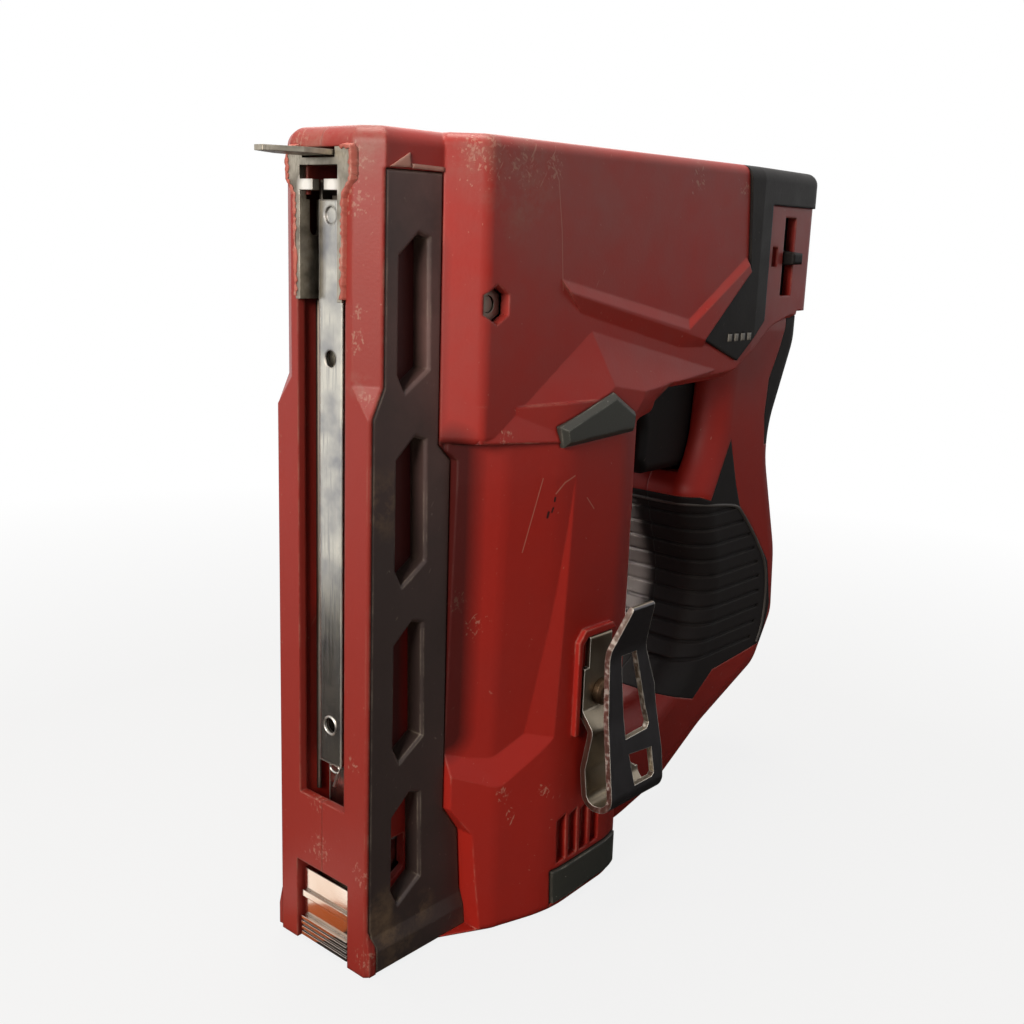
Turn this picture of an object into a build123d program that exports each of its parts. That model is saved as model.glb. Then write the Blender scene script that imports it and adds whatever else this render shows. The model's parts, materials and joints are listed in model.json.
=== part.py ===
from build123d import *

import os
from math import acos, atan2, cos, degrees, pi, sin, tan

os.makedirs("parts", exist_ok=True)

# Frame: the tool stands on its tail. +Z runs from tail to nose, +X from the work face to the grip's back,
# and the tool's left side faces -Y. The origin is on the tail face, under the battery pack's centre.
# Depths d are measured from the work face of the magazine beam, heights z from the tail face.
LENGTH = 206.0
PACK_DEPTH = 65.0
BEAM_HALF = 17.0
BEAM_BACK = 30.0
HEAD_HALF = 25.0
HEAD_FOOT = 134.0
HEAD_FLOOR = 142.5
HEAD_TAPER = 150.0
HEAD_BACK = 195.0
HEAD_BACK_HALF = 20.0
BODY_HALF = 28.6
BODY_BACK = 99.6
GRIP_HALF = 19.0
FAR = 60.0

# Magazine beam: flat work face, long staple opening, crossbar and tail notch
FACE_HALF = 16.2
FACE_CHAMFER = 0.8
NOSE_FACE_HALF = 10.8
NOSE_CHAMFER = 4.1
NOSE_CHAMFER_Z = (142.0, 149.0)
GUARD_INNER = 14.4
WINDOW_FLOOR = 11.8
WINDOW_LINER = 1.4
MAGAZINE_HALF = 9.3
MAGAZINE_BACK = 21.0
OPENING_HALF = 8.5
OPENING_Z = (42.5, 191.0)
CROSSBAR_DEPTH = 2.3
NOTCH_HALF = 10.0
NOTCH_TOP = 23.0

# Battery bay and pack
BAY_R = 22.3
BAY_TOP = 113.0
SKIRT_R = 24.2
SKIRT_TOP = 26.0
PACK_BASE_R = 23.3
PACK_BASE_TOP = 25.0
PACK_STEM_R = 21.6
PACK_TOP = 98.0
PACK_WALL = 1.6
END_CAP_THICK = 2.5
CELL_R = 9.1
CELL_LENGTH = 65.0
CELL_RING_R = 10.7
CELL_FOOT = 5.0
TAB_D = (56.4, 88.0)
TAB_Z = (2.9, 12.2)
TAB_PROUD = 0.8
TAB_INNER_R = 25.6
TAB_THICK = 3.0

# Grip: rounded D-handle with rubber skins
GRIP_ROUND = 9.5
PAD_THICK = 1.6
GROOVE_DEEP = 0.7
GRIP_WALL = 4.5
GRIP_CAVITY_HALF = 13.0

# Staple line: driver blade, slot and contact arm
STAPLE_Z = 196.1
BLADE_THICK = 1.4
BLADE_HALF = 5.2
ARM_Z = (199.4, 200.6)
ARM_HALF = 5.3
ARM_REACH = 17.0

# Drive train: every axle lies across the tool at one height
AXLE_Z = 162.5
LIFT_D = 88.0
LIFT_MODULE = 1.25
LIFT_TEETH = 16
TRAIN_MODULE = 0.8
WHEEL_TEETH = 38
PINION_TEETH = 12
PRESSURE = 25.0 * pi / 180
BACKLASH = 0.16
LIFT_R = LIFT_MODULE * LIFT_TEETH / 2
TRAIN_STEP = TRAIN_MODULE * (WHEEL_TEETH + PINION_TEETH) / 2
IDLER_D = LIFT_D + TRAIN_STEP
MOTOR_D = IDLER_D + TRAIN_STEP
MOTOR_R = 13.8
RACK_PITCH_Z = AXLE_Z + LIFT_R

# Running clearances
SHAFT_GAP = 0.05
SLIDE_GAP = 0.3

FROM_FOOT = (Align.CENTER, Align.CENTER, Align.MIN)


def side_plane(y):
    """Upright plane at one y, drawn in (d, z); it faces the tool's left."""
    return Plane(origin=(-PACK_DEPTH, y, 0), x_dir=(1, 0, 0), z_dir=(0, -1, 0))


def level_plane(z):
    """Level plane at one height, drawn in (d, y); it faces the nose."""
    return Plane(origin=(-PACK_DEPTH, 0, z))


def cross_plane(d):
    """Upright plane at one depth, drawn in (y, z); it faces the grip."""
    return Plane(origin=(d - PACK_DEPTH, 0, 0), x_dir=(0, 1, 0), z_dir=(1, 0, 0))


def finish(builder, name):
    """Label one finished piece and write it out."""
    builder.part.label = name
    export_step(builder.part, f"parts/{name}.step")


def block(d, y, z):
    """Box between two depths, two y and two heights."""
    low = (d[0] - PACK_DEPTH, y[0], z[0])
    size = (d[1] - d[0], y[1] - y[0], z[1] - z[0])
    return Pos(*low) * Box(*size, align=Align.MIN, mode=Mode.PRIVATE)


def rod_y(d, z, radius, y):
    """Round bar across the tool between two y."""
    bar = Cylinder(radius, y[1] - y[0], align=FROM_FOOT, mode=Mode.PRIVATE)
    return Plane(origin=(d - PACK_DEPTH, y[0], z), x_dir=(1, 0, 0), z_dir=(0, 1, 0)) * bar


def rod_x(y, z, radius, d):
    """Round bar along the tool's depth."""
    bar = Cylinder(radius, d[1] - d[0], align=FROM_FOOT, mode=Mode.PRIVATE)
    return cross_plane(d[0]) * Pos(y, z, 0) * bar


def rod_z(d, y, radius, z):
    """Round bar along the tool's length."""
    bar = Cylinder(radius, z[1] - z[0], align=FROM_FOOT, mode=Mode.PRIVATE)
    return Pos(d - PACK_DEPTH, y, z[0]) * bar


def prism(points, y):
    """Straight prism of a side outline between two y."""
    with BuildPart() as solid:
        with BuildSketch(side_plane(y[1])):
            Polygon(*points, align=None)
        extrude(amount=y[1] - y[0])
    return solid.part


# Outer forms of the clamshell


def beam_outline(face_half, chamfer_depth):
    """Level section of the magazine beam: flat work face, chamfered corners, square back."""
    half = [(0, face_half), (chamfer_depth, BEAM_HALF), (BEAM_BACK, BEAM_HALF)]
    return half + [(d, -y) for d, y in reversed(half)]


with BuildPart() as beam_form:
    with BuildSketch(level_plane(0)):
        Polygon(*beam_outline(FACE_HALF, FACE_CHAMFER), align=None)
    extrude(amount=NOSE_CHAMFER_Z[0])
    with BuildSketch(level_plane(NOSE_CHAMFER_Z[0])):
        Polygon(*beam_outline(FACE_HALF, FACE_CHAMFER), align=None)
    with BuildSketch(level_plane(NOSE_CHAMFER_Z[1])):
        Polygon(*beam_outline(NOSE_FACE_HALF, NOSE_CHAMFER), align=None)
    loft(ruled=True)
    with BuildSketch(level_plane(NOSE_CHAMFER_Z[1])):
        Polygon(*beam_outline(NOSE_FACE_HALF, NOSE_CHAMFER), align=None)
    extrude(amount=LENGTH - NOSE_CHAMFER_Z[1])
    fillet(beam_form.faces().sort_by(Axis.Z)[-1].edges(), radius=4)


def head_solid(grow, top):
    """The head block grown or shrunk sideways; its back tapers to the grip's width."""
    half = [
        (22 - grow, 17 + grow / 2),
        (29 - grow / 2, HEAD_HALF + grow),
        (HEAD_TAPER, HEAD_HALF + grow),
        (HEAD_BACK + grow, HEAD_BACK_HALF + grow),
    ]
    with BuildPart() as head:
        with BuildSketch(level_plane(HEAD_FLOOR)):
            Polygon(*half, *[(d, -y) for d, y in reversed(half)], align=None)
        extrude(amount=top - HEAD_FLOOR)
        fillet(head.edges().filter_by(Axis.Z).group_by(Axis.X)[-1], radius=7 + grow)
        fillet(head.edges().filter_by(Axis.Z).group_by(Axis.X)[1], radius=4 + grow)
        fillet(head.faces().sort_by(Axis.Z)[-1].edges(), radius=3 + grow)
    return head.part


# Half sections of the battery body in (depth, half width): flank, crease, cheek and side
BODY_HALVES = [(24, 18), (38.5, 24.6), (58, BODY_HALF), (80, BODY_HALF)]
TAIL_HALVES = [(24, 18), (38, 25.4), (56, 31), (80, 29.4)]
BODY_CREASES = [0, 14, 40]
FLARE_TOP = 52.0


def body_section(z, halves, shrink):
    """Level section of the battery body at one height, drawn in by an even amount."""
    with BuildSketch(level_plane(z)) as section:
        with BuildLine():
            side = FilletPolyline((24, 0), *halves, radius=BODY_CREASES)
            corner = TangentArc(side @ 1, (BODY_BACK, 14), tangent=side % 1)
            Line(corner @ 1, (BODY_BACK, 0))
            Line((BODY_BACK, 0), (24, 0))
        make_face()
        mirror(about=Plane.XZ)
        if shrink:
            offset(amount=-shrink, kind=Kind.INTERSECTION)
    return section.sketch


def body_core(shrink):
    """The battery body's straight column, drawn in by an even amount."""
    with BuildPart() as column:
        add(body_section(0, BODY_HALVES, shrink))
        extrude(amount=HEAD_FLOOR)
    return column.part


def body_tail(grow):
    """The battery body's tail, which flares out downwards, grown by an even amount."""
    with BuildPart() as tail:
        add(body_section(0, TAIL_HALVES, -grow))
        add(body_section(FLARE_TOP, BODY_HALVES, -grow))
        loft(ruled=True)
    return tail.part


with BuildPart() as body_form:
    add(body_tail(0))
    add(body_section(FLARE_TOP, BODY_HALVES, 0))
    extrude(amount=HEAD_FLOOR - FLARE_TOP)
    rim = body_form.faces().sort_by(Axis.Z)[0].edges()
    fillet(rim.filter_by(lambda e: e.center().X > 40 - PACK_DEPTH), radius=2.5)


# Side outline of the D-handle: grip, butt and the bridge back to the tail, with the finger gap in front
HANDLE_POINTS = [
    (146, 165), (194.4, 165), (194.4, 151), (180.6, 119), (193.5, 80), (195.4, 55), (184, 36), (150, 22),
    (126, 8), (104, 3), (76, 3), (76, 43), (118, 41), (138, 52), (144, 74), (134, 106), (142, 120),
]
HANDLE_ROUNDS = [0, 0, 20, 26, 40, 14, 14, 40, 40, 40, 0, 0, 14, 18, 30, 7, 30]
HANDLE_FREE_D = 83.0


def handle_solid(shrink):
    """The D-handle with rounded rims, drawn in by an even amount."""
    with BuildPart() as handle:
        with BuildSketch(side_plane(0)):
            with BuildLine():
                FilletPolyline(*HANDLE_POINTS, radius=HANDLE_ROUNDS, close=True)
            make_face()
            if shrink:
                offset(amount=-shrink, kind=Kind.INTERSECTION)
        extrude(amount=GRIP_HALF - shrink, both=True)
        rims = handle.faces().filter_by(Axis.Y).edges()
        free = rims.filter_by(lambda e: e.center().X > HANDLE_FREE_D - PACK_DEPTH)
        fillet(free, radius=GRIP_ROUND - shrink)
    return handle.part


head_form = head_solid(0, LENGTH)
handle_form = handle_solid(0)
handle_core = handle_solid(PAD_THICK)

# Faceted shoulder from the head's flat side out to the body, and the V-shaped ridge under the bare panel
SHOULDER_IN = [(27, 134.5), (68.3, 162.3), (137.5, 146.6), (120, 141), (84, 133)]
SHOULDER_OUT = [(56, 132.5), (76, 145.5), (90, 143.2), (89, 141), (82, 132.5)]
RIDGE_IN = [(55.5, 174), (114.7, 162.2), (143.4, 179.8), (146, 175), (123, 153), (110, 153), (66, 163.5)]
RIDGE_OUT = [
    (57.5, 170.4), (113, 158.9), (143.6, 177), (144.8, 175), (121.5, 155.5), (112.5, 157.8), (58.2, 169.8),
]
RIDGE_PROUD = 1.4

with BuildPart() as shoulder_form:
    with BuildSketch(side_plane(-HEAD_HALF + 0.6)):
        Polygon(*SHOULDER_IN, align=None)
    with BuildSketch(side_plane(-BODY_HALF)):
        Polygon(*SHOULDER_OUT, align=None)
    loft(ruled=True)
    with BuildSketch(side_plane(-HEAD_HALF + 0.3)):
        Polygon(*RIDGE_IN, align=None)
    with BuildSketch(side_plane(-HEAD_HALF - RIDGE_PROUD)):
        Polygon(*RIDGE_OUT, align=None)
    loft(ruled=True)
    mirror(about=Plane.XZ)

# Chin under the head's front, and the web in the corner between body and head above the finger gap
CHIN_OUTLINE = [(22, 17), (29, HEAD_HALF), (60, HEAD_HALF)]
GUSSET_OUTLINE = [(92, 127), (99.5, 132.3), (113, 141.8), (113, 144), (92, 144)]

with BuildPart() as chin_form:
    with BuildSketch(level_plane(HEAD_FOOT)):
        Polygon(*CHIN_OUTLINE, *[(d, -y) for d, y in reversed(CHIN_OUTLINE)], align=None)
    extrude(amount=HEAD_FLOOR - HEAD_FOOT + 1)
    fillet(chin_form.edges().filter_by(Axis.Z).group_by(Axis.X)[1], radius=3)
    fillet(chin_form.faces().sort_by(Axis.Z)[0].edges(), radius=2)

# Sloped undercut that carries the head's rear corner up and back over the grip
UNDERCUT_OUTLINE = [
    (101, 139.5), (137, 142), (143, 142.6), (166, 156), (179, 159.5), (200, 160.5), (200, 136), (101, 136),
]
UNDERCUT_SLOPE = 30.0
THROAT_OUTLINE = [(143, 130), (143, 142.6), (166, 156), (179, 159.5), (200, 160.5), (200, 130)]
head_block = head_form - prism(THROAT_OUTLINE, (-GRIP_HALF - 0.4, GRIP_HALF + 0.4))

with BuildPart() as undercut:
    with BuildSketch(side_plane(-GRIP_HALF - 0.3)):
        Polygon(*UNDERCUT_OUTLINE, align=None)
    extrude(amount=8, taper=-UNDERCUT_SLOPE)
    mirror(about=Plane.XZ)

# Feet of the two legs flare out a little above the tail face
FOOT_FLARE = [(-16.8, 11.5), (-18, 6.5), (-18, 0.6), (-16.8, 0.6)]

# Side guard: a flat slotted plate let into each flank of the beam
GUARD_OUTLINE = [
    (0.8, 12.5), (0.8, 142), (4.1, 149), (4.1, 197), (22, 197), (22.3, 134), (26.5, 130), (26.8, 37.5),
    (32.4, 29.5), (33.7, 12), (34.8, 1), (2.8, 1), (2.8, 8),
]
WINDOW_FEET = (147.5, 101.0, 55.5, 16.5)
WINDOW_HEIGHTS = (35.7, 35.7, 35.7, 29.5)


def window_outline(foot, height):
    """Slot with slanted ends, the lower end sloping down towards the work face."""
    top = foot + height
    return [(8.7, foot + 4), (10.8, foot), (18.2, foot + 5), (17.6, top - 1), (14.4, top), (8.7, top - 5)]


def window_prism(foot, height, grow, y):
    """Prism of one guard window between two y, its outline grown by an even amount."""
    with BuildPart() as slot:
        with BuildSketch(side_plane(y[1])):
            Polygon(*window_outline(foot, height), align=None)
            if grow:
                offset(amount=grow, kind=Kind.INTERSECTION)
        extrude(amount=y[1] - y[0])
    return slot.part


# Outlines of the rubber and plastic skins, drawn from the side
CAP_OUTLINE = [
    (141, 210), (143, 196), (145, 175), (122, 155.5), (141, 148.5), (157, 160), (157, 195), (200, 195),
    (200, 210),
]
PAD_OUTLINE = [
    (112, 104.5), (139, 104.5), (143.4, 103), (152.7, 122), (158, 106.5), (161.6, 98.5), (172, 88.5),
    (183, 76), (187, 60), (184, 46.5), (152, 44), (141, 36.5), (112, 46),
]
STRAP_OUTLINE = [(184, 162), (199, 162), (199, 118), (174, 118), (172.5, 128), (173.5, 140), (178.5, 149)]
BUMPER_OUTLINE = [(53.4, 136.8), (75, 144), (85, 138), (84.5, 132.8), (54.8, 131.4)]
# Sloped rims of the scoop in the body's flank: a point (depth, y, z) on each and the way it faces
SCOOP_RIMS = [
    ((58, -28.4, 64), (-0.43, -0.9, 0.02)),
    ((56, -28.3, 50.3), (-0.34, -0.88, 0.31)),
    ((37.5, -24.3, 42.3), (-0.24, -0.88, 0.41)),
]
SCOOP_DEEP = 2.8
SCOOP_Z = (40.0, 124.0)
TAIL_RIB_D = (58.8, 64.0, 69.2, 74.4)
TAIL_RIB_Z = (14.0, 26.4, 27.6)
TAIL_RIB_WIDE = 3.8

cap_core = head_solid(-1.2, LENGTH - 1.2)
cap_outer = head_solid(0.8, LENGTH)
left_guard_space = prism(GUARD_OUTLINE, (-FAR, -GUARD_INNER))
left_liners = [
    window_prism(foot, height, WINDOW_LINER, (-GUARD_INNER - 0.2, -WINDOW_FLOOR))
    for foot, height in zip(WINDOW_FEET, WINDOW_HEIGHTS)
]
left_cap_space = prism(CAP_OUTLINE, (-FAR, 0)) - cap_core
left_pad_space = prism(PAD_OUTLINE, (-FAR, 0)) - handle_core
left_strap_space = prism(STRAP_OUTLINE, (-FAR, 0)) - handle_core
left_bumper_space = prism(BUMPER_OUTLINE, (-FAR, -25.0))


def half_space(point, facing):
    """Large block standing on the outer side of a sloping plane."""
    d, y, z = point
    with BuildPart(Plane(origin=(d - PACK_DEPTH, y, z), z_dir=facing)) as outside:
        Box(400, 400, 200, align=(Align.CENTER, Align.CENTER, Align.MIN))
    return outside.part


with BuildPart() as scoop_zone:
    add(block((20, 64), (-FAR, -10), (SCOOP_Z[0] - 4, SCOOP_Z[1] + 8)))
    add(body_form.part, mode=Mode.INTERSECT)
    for point, facing in SCOOP_RIMS:
        add(half_space(point, facing), mode=Mode.INTERSECT)

# The scoop fades out upwards: its floor is a core that grows to the body's full size at the scoop's top
with BuildPart() as scoop_core:
    add(body_section(SCOOP_Z[0], BODY_HALVES, SCOOP_DEEP))
    extrude(amount=HEAD_FLOOR - SCOOP_Z[0], taper=-degrees(atan2(SCOOP_DEEP, SCOOP_Z[1] - SCOOP_Z[0])))
    add(block((0, 100), (-FAR, FAR), (SCOOP_Z[0] - 5, SCOOP_Z[0])))

left_scoop = scoop_zone.part - scoop_core.part
tail_slot_core = body_core(1.5)
left_tail_slots = []
for d in TAIL_RIB_D:
    slot_top = [(d, TAIL_RIB_Z[1]), (d + TAIL_RIB_WIDE, TAIL_RIB_Z[2])]
    slot_outline = [(d, TAIL_RIB_Z[0]), *slot_top, (d + TAIL_RIB_WIDE, TAIL_RIB_Z[0])]
    left_tail_slots.append((prism(slot_outline, (-FAR, 0)) & body_form.part) - tail_slot_core)
left_tab_space = block((TAB_D[0] - 0.4, TAB_D[1] + 0.4), (-FAR, 0), (-1, TAB_Z[1] + 0.4))
left_tab_space = left_tab_space - rod_z(PACK_DEPTH, 0, SKIRT_R - 1, (-2, 30))

with BuildPart() as housing_form:
    add(beam_form.part)
    add(head_block)
    add(body_form.part)
    add(handle_form)
    add(shoulder_form.part)
    add(chin_form.part)
    add(prism(GUSSET_OUTLINE, (-GRIP_HALF, GRIP_HALF)))
    add(undercut.part, mode=Mode.SUBTRACT)
    with BuildSketch(cross_plane(0.4)):
        Polygon(*FOOT_FLARE, align=None)
        mirror(about=Plane.YZ)
    extrude(amount=2.2)
    left_spaces = (left_guard_space, left_scoop, left_bumper_space, left_tab_space)
    for space in (*left_spaces, *left_liners, *left_tail_slots):
        add(space, mode=Mode.SUBTRACT)
        mirror(space, about=Plane.XZ, mode=Mode.SUBTRACT)


# Nose plate: wide top with two shoulders, let into the beam's face
PLATE_FACE = -0.8
PLATE_BACK = 1.2
PLATE_Z = (189.0, 201.2)
FLANGE_BACK = 11.4
FLANGE_HALF = 8.1


def plate_outline(grow):
    """Front outline of the nose plate in (y, z), grown by an even amount."""
    half = [(11, PLATE_Z[1] + grow), (11, 194.4), (9.6, 192.6), (8.4, 191), (FLANGE_HALF, PLATE_Z[0])]
    return [(y + grow, z) for y, z in half] + [(-y - grow, z) for y, z in reversed(half)]


# Hollows shared by both halves of the clamshell
HEAD_FRONT_WALL = 32.0
HEAD_CAVITY = [(-17.5, 144.8), (17.5, 144.8), (22.2, 158), (22.2, 203.2), (-22.2, 203.2), (-22.2, 158)]
REAR_CAVITY = [(-16.5, 158.5), (16.5, 158.5), (16.5, 203.0), (-16.5, 203.0)]
TAIL_WINDOW = [(10.2, 18.2), (17.4, 22.5), (17.4, 32), (10.2, 32)]
GRIP_CAVITY_CLIP = [(139, 48), (139, 141), (200, 141), (200, 48)]
TRIGGER_POCKET = [(130, 111.6), (158, 111.6), (158, 143), (112, 143), (112, 125)]
SELECTOR_SLOT_D = (168.8, 177.6)
SELECTOR_SLOT_Z = (167.2, 191.6)
SELECTOR_TRACK_D = (164.7, 180.7)
SELECTOR_TRACK_Y = (-18.8, -16.4)
SELECTOR_TRACK_Z = (162.6, 200.4)
SELECTOR_NOTCH = ((160.4, 164.6), (-FAR, -21.6), (176.4, 182.4))
HOOK_SCREW_D = 74.5
HOOK_SCREW_Z = 61.0
NUT_D = 32.7
NUT_Z = 167.4
NUT_FLATS = 8.0
NUT_SEAT = 18.6
SCREW_PLACES = [(32.5, 118.0), (33.5, 60.0), (110.0, 24.0), (170.0, 41.0), (168.0, 150.0)]
SCREW_R = 1.6
SCREW_HEAD_R = 3.2
SCREW_SEAT_Y = 12.0

grip_cavity = prism(GRIP_CAVITY_CLIP, (-GRIP_CAVITY_HALF, GRIP_CAVITY_HALF)) & handle_solid(GRIP_WALL)
trigger_space = prism(TRIGGER_POCKET, (-9.6, 9.6))

with BuildPart() as housing_hollow:
    with BuildSketch(cross_plane(HEAD_FRONT_WALL)):
        Polygon(*HEAD_CAVITY, align=None)
    extrude(amount=HEAD_TAPER - HEAD_FRONT_WALL)
    with BuildSketch(cross_plane(HEAD_TAPER - 1)):
        Polygon(*REAR_CAVITY, align=None)
    extrude(amount=184 - HEAD_TAPER + 1)
    add(grip_cavity)
    add(trigger_space)
    # Battery bay with its wider skirt
    add(rod_z(PACK_DEPTH, 0, BAY_R, (-1, BAY_TOP)))
    add(rod_z(PACK_DEPTH, 0, SKIRT_R, (-1, SKIRT_TOP)))
    # Magazine tunnel, its opening on the work face and the tail notch
    add(block((CROSSBAR_DEPTH, MAGAZINE_BACK), (-MAGAZINE_HALF, MAGAZINE_HALF), (-1, 192)))
    add(block((-1, 4), (-OPENING_HALF, OPENING_HALF), OPENING_Z))
    add(block((-1, MAGAZINE_BACK), (-NOTCH_HALF, NOTCH_HALF), (-1, NOTCH_TOP)))
    add(prism(TAIL_WINDOW, (-WINDOW_FLOOR - 1, WINDOW_FLOOR + 1)))
    # Nose: seat of the nose plate, staple slot and the contact arm's slot
    with BuildSketch(cross_plane(-1)):
        Polygon(*plate_outline(0.15), align=None)
    extrude(amount=1 + PLATE_BACK + 0.05)
    add(block((-1, FLANGE_BACK + 0.3), (-8.6, 8.6), (167, 191)))
    add(block((1, HEAD_FRONT_WALL + 1), (-6.2, 6.2), (189, 197.8)))
    add(block((1, HEAD_FRONT_WALL + 1), (-5.7, 5.7), (197, 201.2)))
    # Holes for the nose bolt, the belt hook's screws and the clamshell screws
    add(rod_y(NUT_D, NUT_Z, 2.1, (-FAR, FAR)))
    for d, z in SCREW_PLACES:
        add(rod_y(d, z, SCREW_R + SHAFT_GAP, (-14.5, FAR)))
        add(rod_y(d, z, SCREW_HEAD_R + 0.4, (SCREW_SEAT_Y - 2.4, FAR)))

with BuildPart() as housing_shell:
    add(housing_form.part)
    add(housing_hollow.part, mode=Mode.SUBTRACT)
    for space in (left_cap_space, left_pad_space, left_strap_space):
        add(space, mode=Mode.SUBTRACT)
        mirror(space, about=Plane.XZ, mode=Mode.SUBTRACT)


# Bosses, cradles and ledges moulded inside the head; each is a solid for the left half and one for the right
LIFT_SHAFT_R = 3.0
IDLER_SHAFT_R = 2.5
BUSH_R = 5.5
LEFT_BOSS_Y = (-22.5, -13.0)
RIGHT_BOSS_Y = (17.5, 22.5)
CRADLE_Y = (-11.0, 4.0)
LEDGE_D = ((40, 46), (110, 116))
FRAME_HALF = 16.0
SWITCH_HALF = 8.0
BOARD_Y = (3.4, 5.0)

with BuildPart() as left_ribs:
    for d in (LIFT_D, IDLER_D):
        add(rod_y(d, AXLE_Z, BUSH_R + 2.2, LEFT_BOSS_Y))
    for d in LEDGE_D:
        add(block(d, (-22.5, -FRAME_HALF - 0.1), (182, 198)))
    add(block((112, 144), (CRADLE_Y[0] - 2, CRADLE_Y[0]), (144, 156)))
    add(rod_y(MOTOR_D, AXLE_Z, MOTOR_R + 0.1, (-20, 20)), mode=Mode.SUBTRACT)
    for d, r in ((LIFT_D, BUSH_R), (IDLER_D, IDLER_SHAFT_R)):
        add(rod_y(d, AXLE_Z, r + SHAFT_GAP, (-17, 0)), mode=Mode.SUBTRACT)
    add(block((173, 184.5), (-13, -9), (176, 184)))
    add(block((164, 168), (-13.5, -SWITCH_HALF), (118, 136)))
    add(block((158, 162), (-13.5, BOARD_Y[0]), (71.5, 75.5)))

with BuildPart() as right_ribs:
    for d in (LIFT_D, IDLER_D):
        add(rod_y(d, AXLE_Z, BUSH_R + 1.5, RIGHT_BOSS_Y))
    for d in LEDGE_D:
        add(block(d, (FRAME_HALF + 0.1, 22.5), (182, 198)))
    add(block((112, 144), (CRADLE_Y[1], CRADLE_Y[1] + 2), (144, 156)))
    add(rod_y(MOTOR_D, AXLE_Z, MOTOR_R + 0.1, (-20, 20)), mode=Mode.SUBTRACT)
    for d, r in ((LIFT_D, BUSH_R), (IDLER_D, IDLER_SHAFT_R)):
        add(rod_y(d, AXLE_Z, r + SHAFT_GAP, (10, 21)), mode=Mode.SUBTRACT)
    add(block((164, 168), (SWITCH_HALF, 13.5), (118, 136)))
    for z in (60, 94):
        add(block((158, 162), (BOARD_Y[1], 13.5), (z, z + 4)))

# Belt hook pocket: a raised rim on both flanks, with a boss for the hook's screw
HOOK_SEAT_Y = -28.6
RIM_OUTER = [(64.2, 50), (64.2, 77), (67, 80), (79, 80), (81.5, 77), (81.5, 50)]
RIM_INNER = [(65.9, 49), (65.9, 76), (68, 78), (79, 78), (82, 78), (82, 49)]
hook_rim = prism(RIM_OUTER, (-30.2, -24)) - prism(RIM_INNER, (-31, HOOK_SEAT_Y))
hook_seat = prism(RIM_INNER, (-FAR, HOOK_SEAT_Y))
selector_slot = block(SELECTOR_SLOT_D, (-FAR, -17), SELECTOR_SLOT_Z)
selector_track = block(SELECTOR_TRACK_D, SELECTOR_TRACK_Y, SELECTOR_TRACK_Z)
hook_hole = rod_y(HOOK_SCREW_D, HOOK_SCREW_Z, 1.9, (-FAR, -23.2))

with BuildPart() as nut_pocket:
    with BuildSketch(side_plane(-NUT_SEAT)):
        with Locations((NUT_D, NUT_Z)):
            RegularPolygon(NUT_FLATS / 2 + 0.15, 6, major_radius=False, rotation=30)
    extrude(amount=12)

with BuildPart() as left_housing:
    add(housing_shell.part)
    split(bisect_by=Plane.XZ, keep=Keep.TOP)
    add(left_ribs.part)
    add(hook_rim)
    add(hook_seat, mode=Mode.SUBTRACT)
    add(hook_hole, mode=Mode.SUBTRACT)
    add(selector_slot, mode=Mode.SUBTRACT)
    add(selector_track, mode=Mode.SUBTRACT)
    add(block(*SELECTOR_NOTCH), mode=Mode.SUBTRACT)
    add(nut_pocket.part, mode=Mode.SUBTRACT)
finish(left_housing, "left_housing")

with BuildPart() as right_housing:
    add(housing_shell.part)
    split(bisect_by=Plane.XZ, keep=Keep.BOTTOM)
    add(right_ribs.part)
    mirror(hook_rim, about=Plane.XZ)
    mirror(hook_seat, about=Plane.XZ, mode=Mode.SUBTRACT)
    mirror(hook_hole, about=Plane.XZ, mode=Mode.SUBTRACT)
    add(rod_y(NUT_D, NUT_Z, 4.2, (21, FAR)), mode=Mode.SUBTRACT)
finish(right_housing, "right_housing")

# Skins and trim of the left flank, and their mirror images

guard_flare = prism(GUARD_OUTLINE, (-18.2, -16.8))
with BuildPart() as flare_wedge:
    with BuildSketch(cross_plane(0)):
        Polygon(*FOOT_FLARE, align=None)
    extrude(amount=40)

with BuildPart() as left_side_guard:
    with BuildSketch(side_plane(-GUARD_INNER)):
        Polygon(*GUARD_OUTLINE, align=None)
        for foot, height in zip(WINDOW_FEET, WINDOW_HEIGHTS):
            Polygon(*window_outline(foot, height), align=None, mode=Mode.SUBTRACT)
    extrude(amount=BEAM_HALF - GUARD_INNER)
    chamfer(left_side_guard.faces().sort_by(Axis.Y)[0].edges(), length=0.6)
    add(flare_wedge.part & guard_flare)
    for liner in left_liners:
        add(liner)
    for foot, height in zip(WINDOW_FEET, WINDOW_HEIGHTS):
        add(window_prism(foot, height, 0, (-GUARD_INNER - 0.4, -WINDOW_FLOOR + 1)), mode=Mode.SUBTRACT)

with BuildPart() as left_head_cap:
    add(cap_outer)
    add(left_cap_space, mode=Mode.INTERSECT)

groove_core = handle_solid(GROOVE_DEEP)
GROOVE_Z = [49.5 + 5.4 * i for i in range(10)]


def groove_end(z):
    """Depth where the pad's ribs stop: they follow the pad's rounded back edge."""
    return 179 - 24 * ((z - 64) / 38) ** 2


with BuildPart() as left_grip_pad:
    add(handle_form)
    add(left_pad_space, mode=Mode.INTERSECT)
    for z in GROOVE_Z:
        slab = block((110, groove_end(z)), (-FAR, 0), (z, z + 1.1))
        add(slab - groove_core, mode=Mode.SUBTRACT)
    add(trigger_space, mode=Mode.SUBTRACT)

with BuildPart() as left_back_strap:
    add(handle_form)
    add(left_strap_space, mode=Mode.INTERSECT)
    add(head_block, mode=Mode.SUBTRACT)

with BuildPart() as left_front_bumper:
    add(prism(BUMPER_OUTLINE, (-30.4, -25.0)))
    chamfer(left_front_bumper.faces().sort_by(Axis.Y)[0].edges(), length=1.4)

GAUGE_D = (135.8, 139.5, 143.2, 146.9)
GAUGE_Z = 155.6

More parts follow.
